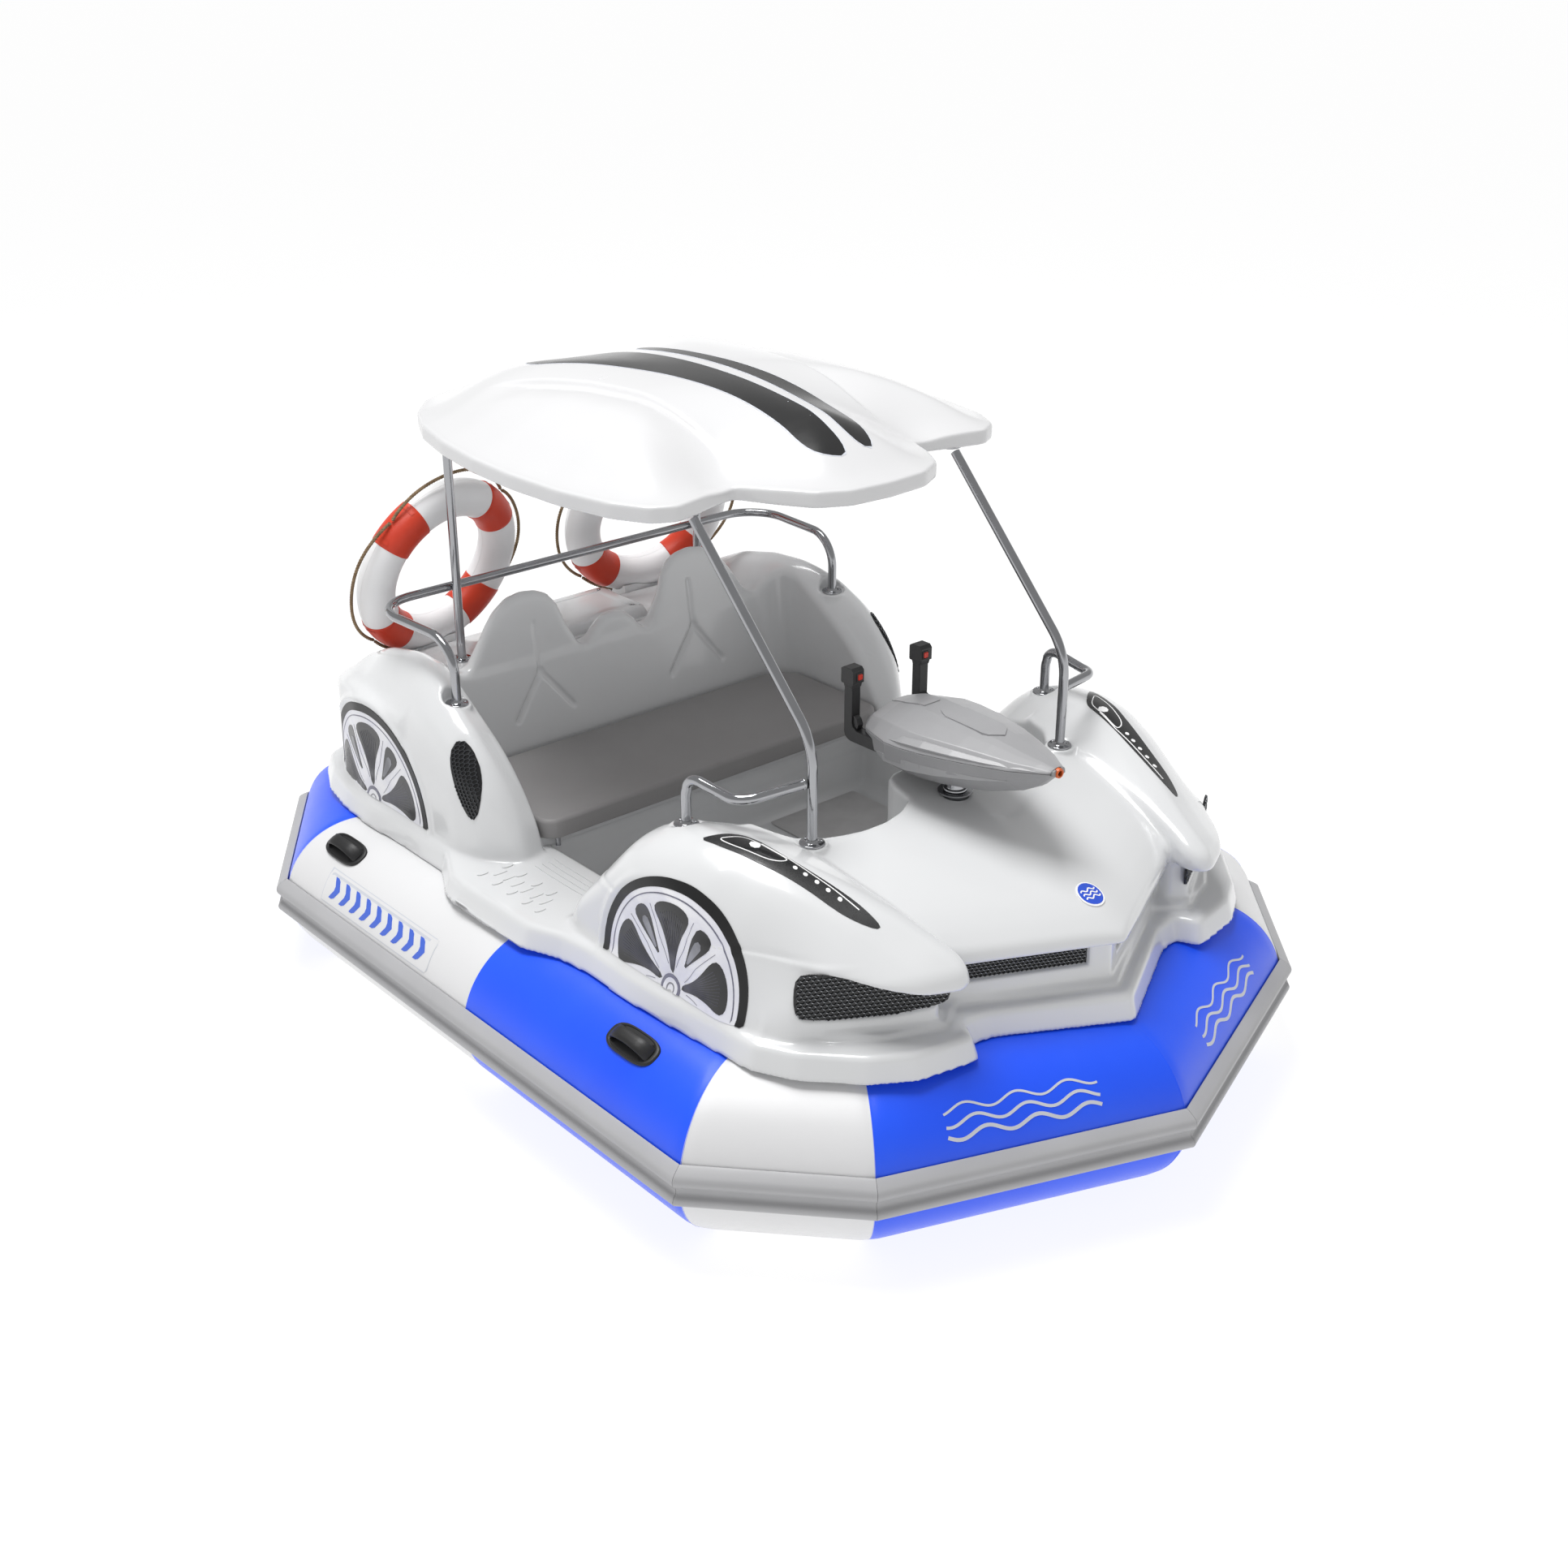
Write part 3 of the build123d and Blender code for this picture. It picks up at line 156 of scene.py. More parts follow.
# painted highlight: light grey for the glints on the grille mesh edges
M["painted_glint"] = material("mesh_glint", (196, 198, 202), 0.25, vary=0.1, scale=40.0, metal=0.5, bump=0.05)
M["rubber"] = material("black_rubber", (28, 28, 29), 0.48, vary=0.18, scale=16.0, bump=0.25, bump_scale=380)
M["pvc_blue"] = material("pvc_blue", (24, 90, 255), 0.34, tint=(20, 84, 250), scale=3.0, rvary=0.05, bump=0.16, bump_scale=520, kind="weave", coat=0.12, coat_rough=0.25)
M["pvc_white"] = material("pvc_white", (228, 228, 229), 0.36, vary=0.012, scale=3.0, rvary=0.05, bump=0.16, bump_scale=520, kind="weave", coat=0.1, coat_rough=0.25)
M["rail"] = material("rail_grey", (176, 176, 178), 0.46, vary=0.05, scale=5.0, bump=0.15, bump_scale=200)
M["tyre"] = material("print_black", (12, 12, 13), 0.42, vary=0.15, scale=20.0, coat=0.05, coat_rough=0.15)
M["silver"] = material("print_silver", (238, 238, 241), 0.30, tint=(222, 222, 231), scale=14.0, coat=0.3, coat_rough=0.12, distort=0.4)
M["lilac"] = material("print_shade", (120, 120, 140), 0.32, tint=(84, 84, 100), scale=18.0, coat=0.3, coat_rough=0.12)
M["fan"] = material("print_fan", (25, 25, 29), 0.32, tint=(14, 14, 16), scale=18.0, coat=0.3, coat_rough=0.12)
M["slotg"] = material("print_slot", (146, 147, 154), 0.32, tint=(92, 93, 100), scale=14.0, coat=0.3)
M["lampk"] = material("decal_black", (28, 29, 30), 0.28, vary=0.12, scale=18.0, coat=0.4, coat_rough=0.1)
M["lampd"] = material("decal_black_deep", (14, 14, 15), 0.2, vary=0.2, scale=12.0, coat=0.6, coat_rough=0.05)
M["lampw"] = material("decal_white", (250, 250, 250), 0.35, vary=0.01, scale=10.0)
M["badge"] = material("badge_blue", (36, 84, 214), 0.25, vary=0.1, scale=30.0, coat=0.5)
M["steel"] = material("stainless_polished", (168, 169, 172), 0.10, metal=1.0, vary=0.05, scale=20.0, rvary=0.03, streak=(1, 1, 0.15))
M["alu"] = material("aluminium", (188, 190, 193), 0.32, metal=1.0, vary=0.06, scale=16.0, streak=(1, 1, 0.2))
M["blackmetal"] = material("black_metal", (30, 31, 33), 0.38, metal=0.4, vary=0.15, scale=16.0, bump=0.1, bump_scale=260)
M["ringw"] = material("ring_white", (236, 236, 237), 0.46, vary=0.02, scale=8.0, bump=0.16, bump_scale=420)
M["ringo"] = material("ring_orange", (214, 62, 30), 0.42, tint=(202, 54, 26), scale=10.0, bump=0.2, bump_scale=600, kind="weave")
M["rope"] = material("rope_tan", (158, 134, 104), 0.82, tint=(128, 104, 76), scale=60.0, bump=0.9, bump_scale=240, kind="weave")
M["red"] = material("button_red", (214, 48, 26), 0.34, vary=0.1, scale=40.0, bump=0.05)
M["orange"] = material("nozzle_orange", (214, 98, 34), 0.38, vary=0.12, scale=40.0)
M["mark"] = material("mark_grey", (206, 209, 216), 0.4, vary=0.03, scale=20.0)
M["markb"] = material("mark_blue", (66, 104, 214), 0.4, vary=0.04, scale=20.0)
M["stripe"] = material("stripe_black", (13, 13, 14), 0.24, vary=0.1, scale=5.0, coat=0.4, coat_rough=0.1)
M["amber"] = material("mark_amber", (246, 190, 104), 0.4, vary=0.06, scale=20.0)


# ------------------------------------------------------------------ mesh helpers
def add_mesh(name, verts, faces, mats, body, slot, replaces=(), face_mats=None, smooth=True, normals=None, angle=None):
    me = bpy.data.meshes.new(name)
    me.from_pydata([tuple(v) for v in verts], [], [tuple(int(i) for i in f) for f in faces])
    me.validate(clean_customdata=False)
    for m in (mats if isinstance(mats, (list, tuple)) else [mats]):
        me.materials.append(M[m])
    if face_mats is not None:
        me.polygons.foreach_set("material_index", np.asarray(face_mats, np.int32))
    me.polygons.foreach_set("use_smooth", np.full(len(me.polygons), smooth))
    me.update()
    o = bpy.data.objects.new(name, me)
    bpy.context.scene.collection.objects.link(o)
    if normals is not None:
        me.normals_split_custom_set_from_vertices([tuple(n) for n in normals])
    elif angle is not None:
        me.set_sharp_from_angle(angle=math.radians(angle))
    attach(o, body)
    if replaces:
        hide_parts(*replaces)
    return o


def bevel(o, width, segments=3, angle=30):
    b = o.modifiers.new("bevel", "BEVEL")
    b.width = width
    b.segments = segments
    b.limit_method = "ANGLE"
    b.angle_limit = math.radians(angle)
    b.harden_normals = True
    return o


class Bag:
    """Gathers several shapes into one mesh."""

    def __init__(self):
        self.v, self.f, self.m, self.n = [], [], [], 0

    def add(self, verts, faces, mat=0):
        verts = np.asarray(verts, float)
        self.v.append(verts)
        self.f += [tuple(int(i) + self.n for i in f) for f in faces]
        self.m += [mat] * len(faces)
        self.n += len(verts)

    def make(self, name, mats, body, slot, replaces=(), **kw):
        return add_mesh(name, np.concatenate(self.v), self.f, mats, body, slot, replaces, face_mats=self.m, **kw)


def grid_faces(nu, nv, close_u=False, close_v=False, flip=False):
    f = []
    for i in range(nu if close_u else nu - 1):
        for j in range(nv if close_v else nv - 1):
            a, b = i * nv + j, ((i + 1) % nu) * nv + j
            c, d = ((i + 1) % nu) * nv + (j + 1) % nv, i * nv + (j + 1) % nv
            f.append((a, d, c, b) if flip else (a, b, c, d))
    return f


def fillet_path(pts, radii, n=14):
    P = [np.array(p, float) for p in pts]
    if not hasattr(radii, "__len__"):
        radii = [radii] * (len(P) - 2)
    out = [P[0]]
    for i in range(1, len(P) - 1):
        a, b, c = P[i - 1], P[i], P[i + 1]
        u, w = (a - b) / np.linalg.norm(a - b), (c - b) / np.linalg.norm(c - b)
        ang = math.acos(max(-1, min(1, float(u @ w))))
        r = radii[i - 1]
        t = r / math.tan(ang / 2)
        cen = b + (u + w) / np.linalg.norm(u + w) * (r / math.sin(ang / 2))
        s, e = b + u * t, b + w * t
        v0, v1 = s - cen, e - cen
        tot = math.pi - ang
        for k in range(n + 1):
            q = k / n
            out.append(cen + (math.sin((1 - q) * tot) * v0 + math.sin(q * tot) * v1) / math.sin(tot))
    out.append(P[-1])
    return np.array(out)


def resample(path, step):
    path = np.asarray(path, float)
    seg = np.linalg.norm(np.diff(path, axis=0), axis=1)
    s = np.concatenate([[0], np.cumsum(seg)])
    n = max(2, int(round(s[-1] / step)) + 1)
    t = np.linspace(0, s[-1], n)
    return np.stack([np.interp(t, s, path[:, k]) for k in range(path.shape[1])], 1)


def tube(path, r, seg=28, caps=True, r_fn=None):
    P = np.asarray(path, float)
    T = np.gradient(P, axis=0)
    T /= np.linalg.norm(T, axis=1)[:, None]
    ref = np.array([0, 0, 1.0]) if abs(T[0][2]) < 0.9 else np.array([1.0, 0, 0])
    N = np.cross(T[0], ref)
    N /= np.linalg.norm(N)
    rings = []
    for i in range(len(P)):
        N = N - T[i] * (N @ T[i])
        N /= np.linalg.norm(N)
        B = np.cross(T[i], N)
        rr = r if r_fn is None else r_fn(i / (len(P) - 1))
        a = np.linspace(0, 2 * math.pi, seg, endpoint=False)
        rings.append(P[i] + rr * (np.cos(a)[:, None] * N + np.sin(a)[:, None] * B))
    v = np.concatenate(rings)
    f = grid_faces(len(P), seg, close_v=True)
    if caps:
        f.append(tuple(range(seg - 1, -1, -1)))
        f.append(tuple((len(P) - 1) * seg + k for k in range(seg)))
    return v, f


def lathe(profile, origin, axis, seg=48, start=0.0):
    """profile: (r, h) pairs; turned about axis through origin."""
    A = np.array(axis, float)
    A /= np.linalg.norm(A)
    ref = np.array([1.0, 0, 0]) if abs(A[0]) < 0.9 else np.array([0, 1.0, 0])
    U = np.cross(A, ref)
    U /= np.linalg.norm(U)
    W = np.cross(A, U)
    a = np.linspace(0, 2 * math.pi, seg, endpoint=False) + start
    rings = [np.array(origin, float) + A * h + r * (np.cos(a)[:, None] * U + np.sin(a)[:, None] * W) for r, h in profile]
    v = np.concatenate(rings)
    f = grid_faces(len(profile), seg, close_v=True)
    if profile[0][0] > 1e-6:
        f.append(tuple(range(seg - 1, -1, -1)))
    if profile[-1][0] > 1e-6:
        f.append(tuple((len(profile) - 1) * seg + k for k in range(seg)))
    return v, f


def poly_sdf(px, py, poly):
    P = np.asarray(poly, float)
    d = np.full(np.broadcast(px, py).shape, 1e18)
    s = np.ones_like(d)
    n = len(P)
    for i in range(n):
        a, b = P[i], P[i - 1]
        ex, ey = b[0] - a[0], b[1] - a[1]
        wx, wy = px - a[0], py - a[1]
        t = np.clip((wx * ex + wy * ey) / (ex * ex + ey * ey + 1e-12), 0, 1)
        d = np.minimum(d, (wx - ex * t) ** 2 + (wy - ey * t) ** 2)
        c1, c2, c3 = py >= a[1], py < b[1], ex * wy > ey * wx
        s = np.where((c1 & c2 & c3) | (~c1 & ~c2 & ~c3), -s, s)
    return s * np.sqrt(d)


def chaikin(poly, times=2, closed=True):
    P = np.asarray(poly, float)
    for _ in range(times):
        Q = np.roll(P, -1, axis=0)
        if closed:
            P = np.stack([P * 0.75 + Q * 0.25, P * 0.25 + Q * 0.75], 1).reshape(-1, P.shape[1])
        else:
            A, B = P[:-1], P[1:]
            P = np.concatenate([P[:1], np.stack([A * 0.75 + B * 0.25, A * 0.25 + B * 0.75], 1).reshape(-1, P.shape[1]), P[-1:]])
    return P


def fill(outline, step):
    """Triangles over a 2D outline, with inner points every step."""
    P = resample(np.concatenate([outline, outline[:1]]), step)[:-1]
    lo, hi = P.min(0), P.max(0)
    gx, gy = np.meshgrid(np.arange(lo[0], hi[0], step), np.arange(lo[1], hi[1], step * 0.87))
    gx = gx + (np.arange(gx.shape[0]) % 2)[:, None] * step * 0.5
    g = np.stack([gx.ravel(), gy.ravel()], 1)
    g = g[poly_sdf(g[:, 0], g[:, 1], P) < -0.45 * step]
    pts = np.concatenate([P, g])
    n = len(P)
    r = delaunay_2d_cdt([Vector(p) for p in pts], [(i, (i + 1) % n) for i in range(n)], [], 1, 1e-5)
    v = np.array([tuple(p) for p in r[0]])
    f = []
    for t in r[2]:
        a, b, c = v[t[0]], v[t[1]], v[t[2]]
        f.append(tuple(t) if (b[0] - a[0]) * (c[1] - a[1]) - (b[1] - a[1]) * (c[0] - a[0]) > 0 else (t[0], t[2], t[1]))
    return v, f


def sheet(bag, outline, step, mapf, lift, mat=0, under=1.5):
    """A thin patch laid over a surface: mapf turns 2D points into places and normals (mm)."""
    v, f = fill(np.asarray(outline, float), step)
    pos, nor = mapf(v)
    ok = ~np.isnan(pos[:, 0])
    f = [t for t in f if ok[t[0]] and ok[t[1]] and ok[t[2]]]
    pos, nor = np.nan_to_num(pos), np.nan_to_num(nor)
    if not f:
        return
    a, b, c = pos[f[0][0]], pos[f[0][1]], pos[f[0][2]]
    if np.cross(b - a, c - a) @ nor[f[0][0]] < 0:
        f = [(t[0], t[2], t[1]) for t in f]
    edges = {}
    for t in f:
        for i in range(3):
            edges[(t[i], t[(i + 1) % 3])] = 1
    rim = [e for e in edges if (e[1], e[0]) not in edges]
    n = len(v)
    top, low = pos + nor * lift, pos - nor * under
    faces = list(f) + [(e[1], e[0], e[0] + n, e[1] + n) for e in rim]
    bag.add(np.concatenate([top, low]) * MM, faces, mat)


def bars(bag, segs, width, mapf, lift, mat=0, under=1.0):
    for p, q in segs:
        p, q = np.array(p, float), np.array(q, float)
        d = q - p
        L = np.linalg.norm(d)
        if L < 1e-6:
            continue
        nrm = np.array([-d[1], d[0]]) / L * width / 2
        pos, nor = mapf(np.array([p - nrm, q - nrm, q + nrm, p + nrm]))
        if np.isnan(pos).any():
            continue
        top, low = pos + nor * lift, pos - nor * under
        fl = np.cross(top[1] - top[0], top[2] - top[0]) @ nor[0] < 0
        fs = [(0, 1, 2, 3), (0, 4, 5, 1), (1, 5, 6, 2), (2, 6, 7, 3), (3, 7, 4, 0)]
        bag.add(np.concatenate([top, low]) * MM, [tuple(reversed(x)) for x in fs] if fl else fs, mat)


def hex_segs(outline, cell, squash=1.0):
    P = np.asarray(outline, float)
    lo, hi = P.min(0), P.max(0)
    segs = {}
    dx, dy = cell * math.sqrt(3), cell * 1.5 * squash
    for j in range(int((hi[1] - lo[1]) / dy) + 2):
        for i in range(int((hi[0] - lo[0]) / dx) + 2):
            cx, cy = lo[0] + i * dx + (j % 2) * dx / 2, lo[1] + j * dy
            c = [(cx + cell * math.cos(math.radians(30 + 60 * k)), cy + cell * squash * math.sin(math.radians(30 + 60 * k))) for k in range(6)]
            for k in range(6):
                a, b = c[k], c[(k + 1) % 6]
                key = tuple(sorted([(round(a[0], 1), round(a[1], 1)), (round(b[0], 1), round(b[1], 1))]))
                segs[key] = (a, b)
    out = []
    for a, b in segs.values():
        m = np.array([a, b])
        if (poly_sdf(m[:, 0], m[:, 1], P) < -0.5).all():
            out.append((a, b))
    return out


def curve(x, table, sig=0.0):
    t = np.array(sorted(table), float)
    if sig <= 0:
        return np.interp(x, t[:, 0], t[:, 1])
    g = np.linspace(t[0, 0] - 4 * sig, t[-1, 0] + 4 * sig, 1200)
    lo = t[0, 1] + (g - t[0, 0]) * (t[1, 1] - t[0, 1]) / (t[1, 0] - t[0, 0])
    hi = t[-1, 1] + (g - t[-1, 0]) * (t[-1, 1] - t[-2, 1]) / (t[-1, 0] - t[-2, 0])
    v = np.where(g < t[0, 0], lo, np.where(g > t[-1, 0], hi, np.interp(g, t[:, 0], t[:, 1])))
    h = g[1] - g[0]
    k = np.exp(-0.5 * ((np.arange(-int(4 * sig / h), int(4 * sig / h) + 1) * h) / sig) ** 2)
    k /= k.sum()
    m = len(k) // 2
    vp = np.concatenate([v[0] + (np.arange(-m, 0)) * (v[1] - v[0]), v, v[-1] + np.arange(1, m + 1) * (v[-1] - v[-2])])
    return np.interp(x, g, np.convolve(vp, k, "valid"))


def blur(a, sig, h, reflect=True):
    m = max(1, int(3 * sig / h))
    k = np.exp(-0.5 * ((np.arange(-m, m + 1) * h) / sig) ** 2)
    k /= k.sum()
    p = np.concatenate([a[:m][::-1] if reflect else np.repeat(a[:1], m, 0), a, np.repeat(a[-1:], m, 0)], 0)
    a = sum(k[i] * p[i:i + a.shape[0]] for i in range(2 * m + 1))
    p = np.concatenate([np.repeat(a[:, :1], m, 1), a, np.repeat(a[:, -1:], m, 1)], 1)
    return sum(k[i] * p[:, i:i + a.shape[1]] for i in range(2 * m + 1))


def smin(a, b, k):
    h = np.maximum(k - np.abs(a - b), 0) / k
    return np.minimum(a, b) - h * h * (k * 0.25)


def smax(a, b, k):
    h = np.maximum(k - np.abs(a - b), 0) / k
    return np.maximum(a, b) + h * h * (k * 0.25)


def step01(x, a, b):
    t = np.clip((x - a) / (b - a), 0, 1)
    return t * t * (3 - 2 * t)


def mesh_field(d, xs, ys, zs, h, adapt=0.0):
    """Mirror a half field about x = 0 and mesh its zero surface. Returns metres, faces and smooth normals."""
    c = np.clip(d, -4 * h, 4 * h).astype(np.float32)
    full = np.concatenate([c[::-1], c], 0)
    g = openvdb.FloatGrid(background=4.0 * h)
    g.copyFromArray(np.ascontiguousarray(full))
    pts, tris, quads = g.convertToPolygons(isovalue=0.0, adaptivity=adapt)
    P = pts.astype(float)
    x0 = -(len(xs) - 0.5) * h
    P = P * h + np.array([x0, ys[0], zs[0]])
    F = d.astype(np.float32)

    def sample(Q):
        q = np.stack([np.abs(Q[:, 0]) / h - 0.5, (Q[:, 1] - ys[0]) / h, (Q[:, 2] - zs[0]) / h], 1)
        q = np.clip(q, 0, np.array(F.shape) - 1.001)
        i = q.astype(int)
        t = q - i
        r = 0
        for a in (0, 1):
            for b in (0, 1):
                for e in (0, 1):
                    w = (t[:, 0] if a else 1 - t[:, 0]) * (t[:, 1] if b else 1 - t[:, 1]) * (t[:, 2] if e else 1 - t[:, 2])
                    r = r + w * F[i[:, 0] + a, i[:, 1] + b, i[:, 2] + e]
        return r

    def grad(Q, e):
        G = np.zeros_like(Q)
        for k in range(3):
            o = np.zeros(3)
            o[k] = e
            G[:, k] = (sample(Q + o) - sample(Q - o)) / (2 * e)
        return G

    for _ in range(2):
        G = grad(P, h * 0.6)
        L = np.maximum(np.linalg.norm(G, axis=1), 0.3)
        P = P - (np.clip(sample(P), -h, h) / (L * L))[:, None] * G
    N = grad(P, h * 0.8)
    N /= np.maximum(np.linalg.norm(N, axis=1), 1e-6)[:, None]
    faces = [tuple(t) for t in tris] + [tuple(q) for q in quads]
    t = faces[len(faces) // 2]
    if np.cross(P[t[1]] - P[t[0]], P[t[2]] - P[t[1]]) @ N[t[0]] < 0:
        faces = [tuple(reversed(f)) for f in faces]
    return P * MM, faces, N


# ------------------------------------------------------------------ moulded body
HB = 6.0
bx = (np.arange(148) + 0.5) * HB
by = np.arange(-1266.0, 1278.0, HB)
bz = np.arange(288.0, 1032.0, HB)
X, Y, Z = (a.astype(np.float32) for a in (bx[:, None, None], by[None, :, None], bz[None, None, :]))
X2, Y2 = np.meshgrid(bx, by, indexing="ij")


def plan(poly, sig=9.0):
    return blur(poly_sdf(X2, Y2, poly), sig, HB).astype(np.float32)[:, :, None]


def both_sides(half):
    return [tuple(p) for p in half] + [(-x, y) for x, y in reversed(half) if x > 0]


def height(H, sig=0.0):
    if sig:
        H = blur(H, sig, HB)
    gx, gy = np.gradient(H, HB)
    return (H.astype(np.float32)[:, :, None], (1.0 / np.sqrt(1 + gx * gx + gy * gy)).astype(np.float32)[:, :, None])


FLANGE = [(0, -1231), (295, -1068), (372, -1054), (400, -1112), (549, -1085), (641, -1027), (747, -912),
          (795, -820), (803, -707), (815, -559), (822, -408), (818, -239), (829, -140), (865, -41),
          (868, 135), (870, 251), (860, 320), (799, 436), (796, 639), (806, 805), (794, 959), (765, 1088),
          (710, 1201), (640, 1235), (0, 1240)]
LEDGE = [(0, -1186), (325, -1006), (345, -1000), (424, -1050), (560, -1000), (650, -930), (700, -860), (790, -700), (796, -400), (780, -160),
         (700, -110), (560, -100), (480, -300), (0, -300)]
d = smax(plan(both_sides(FLANGE)) - (492 - Z) * 0.28, Z - 492, 16.0)
d = np.maximum(d, 431 - Z)
d = smin(d, smax(plan(both_sides(LEDGE), 10) - (504 - Z) * 0.3, Z - 504, 8.0), 8.0)

# hood: its height follows the distance in from the V edge
xr = np.sqrt(X2 ** 2 + 45.0 ** 2) - 20
dv = -0.440 * xr + 0.898 * (Y2 + 1202)
Hh = 640 + curve(dv, [(-60, -50), (-20, -16), (0, 0), (50, 37), (102, 64), (160, 86), (271, 118), (386, 143), (500, 161), (640, 174), (760, 180)], 12)
HOOD_PLAN = both_sides([(0, -1204), (355, -1030), (420, -985), (500, -900), (520, -560), (520, -440), (0, -440)])
HOOD_LOW = both_sides([(0, -1160), (335, -997), (420, -950), (500, -880), (520, -560), (520, -440), (0, -440)])
hz, hg = height(Hh, 8)
hood = smax((Z - hz) * hg, plan(HOOD_PLAN, 7), 18.0)
hood = smax(hood, 614 - Z, 12.0)
low = smax(plan(HOOD_LOW, 7) - (614 - Z) * 0.06, Z - 636, 4.0)
low = np.maximum(low, 470 - Z)
hood = smin(hood, np.maximum(low, (Z - hz) * hg), 10.0)

# front fenders
rx = curve(Y2, [(-1130, 425), (-1050, 440), (-980, 462), (-900, 492), (-800, 530), (-700, 572), (-600, 605), (-520, 622), (-440, 632), (-300, 640), (-75, 650)], 18)
rz = curve(Y2, [(-1140, 632), (-1112, 655), (-1050, 690), (-980, 717), (-900, 748), (-800, 780), (-700, 812), (-600, 838), (-520, 845), (-440, 838),
                (-364, 821), (-295, 788), (-246, 735), (-145, 614), (-75, 505), (-43, 449)], 14)
u = X2 - rx
out_a = curve(u, [(0, 0), (40, 5), (75, 17), (110, 40), (135, 68), (160, 106), (183, 158), (240, 330)], 8)
out_b = curve(u, [(0, 0), (68, 27), (110, 50), (148, 77), (200, 122), (300, 230)], 10)
inn = curve(-u, [(0, 0), (40, 7), (85, 25), (130, 43), (175, 60), (260, 100)], 10)
wb = step01(Y2, -960, -720)
fade = step01(Y2, -60, -300)
drop_o = out_a * wb + out_b * (1 - wb)
Hf = rz - np.where(u > 0, drop_o, inn) * (0.35 + 0.65 * fade)
fz, fg = height(Hf, 7)
F_UP = both_sides([(520, -1072), (640, -987), (735, -882), (788, -757), (788, -150), (760, -84), (560, -66), (520, -66), (470, -200),
                   (440, -700), (400, -1000), (386, -1062), (400, -1100), (430, -1114)])
F_LOW = both_sides([(725, -866), (788, -757), (788, -150), (760, -84), (560, -66), (520, -66), (470, -200), (430, -890), (402, -1000), (440, -1036)])
FUP = [(x, y) for x, y in F_UP if x > 0]
FLO = [(x, y) for x, y in F_LOW if x > 0]
rwf = np.sqrt((Y + 530) ** 2 + (Z - 505) ** 2)
rwr = np.sqrt((Y - 829) ** 2 + (Z - 495) ** 2)
side = step01(X, 720, 765).astype(np.float32)
lip_f = 7.0 * np.exp(-((rwf - 279) / 9.0) ** 2) * side
lip_r = 7.0 * np.exp(-((rwr - 291) / 9.0) ** 2) * side
fen = smax((Z - fz) * fg, plan(FUP, 13) - lip_f, 26.0)
uf = (X - 612.5) * 0.8604 + (Y + 943) * 0.5097
zl = 614 + np.clip((uf + 150) * 0.17, 0, 48)
fen = smax(fen, zl - Z, 18.0)
flo = smax(plan(FLO, 9) - lip_f - (612 - Z) * 0.05, (Z - fz) * fg, 20.0)
flo = np.maximum(smax(flo, Z - 660, 4.0), 470 - Z)
fen = smin(fen, flo, 14.0)
front = smin(hood, fen, 20.0)
d = smin(d, front, 20.0)
del hood, low, fen, flo, front, lip_f

# rear deck and fenders
Hd = curve(Y2, [(600, 796), (850, 797), (1000, 792), (1100, 772), (1170, 746), (1215, 700)], 14)
rx = curve(Y2, [(200, 655), (372, 690), (481, 690), (560, 678), (680, 650), (800, 640), (1180, 630)], 20)
rz = curve(Y2, [(220, 478), (236, 500), (245, 545), (272, 610), (320, 690), (372, 756), (430, 806), (481, 838), (560, 880), (620, 902), (680, 915), (790, 912), (922, 884),
                (1040, 832), (1130, 762), (1180, 690), (1220, 600)], 12)
u = X2 - rx
ro = curve(u, [(0, 0), (30, 8), (60, 38), (90, 82), (115, 126), (140, 210), (200, 500)], 9)
ri_a = curve(-u, [(0, 0), (30, 12), (70, 44), (110, 84), (150, 110), (300, 116)], 9)
ri_b = curve(-u, [(0, 0), (70, 52), (110, 84), (300, 120)], 8)
wb = step01(Y2, 560, 680)
Hr = rz - np.where(u > 0, ro, ri_b * (1 - wb) + ri_a * wb)
Hr = np.where(Y2 < 560, Hr, Hr)
REAR = both_sides([(0, 1208), (560, 1206), (640, 1190), (700, 1140), (748, 1040), (780, 900), (780, 420), (762, 330), (690, 232), (604, 232),
                   (560, 300), (540, 690), (0, 690)][::-1])
Ht = np.maximum(Hr, np.where((X2 < 640) & (Y2 > 640), Hd, 0))
k = 40.0
hh = np.maximum(k - np.abs(Hr - Hd), 0) / k
Ht = np.where(Y2 > 650, np.maximum(Hr, Hd) + hh * hh * k * 0.25, Hr)
tz, tg = height(Ht, 8)
rear = smax((Z - tz) * tg, plan(REAR, 14) - lip_r, 34.0)
rear = np.maximum(rear, 470 - Z)
# backrest
lean = math.tan(math.radians(8.0))
fb = (Y - (700 + (Z - 590) * lean)) * math.cos(math.radians(8.0))
BACK = [(0, 880), (40, 873), (76, 842), (98, 800), (110, 786), (124, 800), (146, 850), (163, 880), (188, 950), (216, 984), (252, 1000), (300, 1006),
        (350, 998), (398, 968), (430, 932), (455, 897), (490, 842), (522, 806), (556, 800), (590, 806), (640, 840), (640, 560), (0, 560)]
bxg, bzg = np.meshgrid(bx, bz, indexing="ij")
pb = blur(poly_sdf(bxg, bzg, both_sides(BACK)), 7, HB).astype(np.float32)[:, None, :]
thick = 34 + np.clip((900 - Z) * 0.22, 0, 60)
back = smax(pb, smax(-fb, fb - thick, 10.0), 22.0)
rear = smin(rear, back, 30.0)
room = smax(smax(X - 610, fb, 110.0), 488 - Z, 4.0)
rear = smax(rear, -room, 14.0)
d = smin(d, rear, 16.0)
del rear, back, room, lip_r

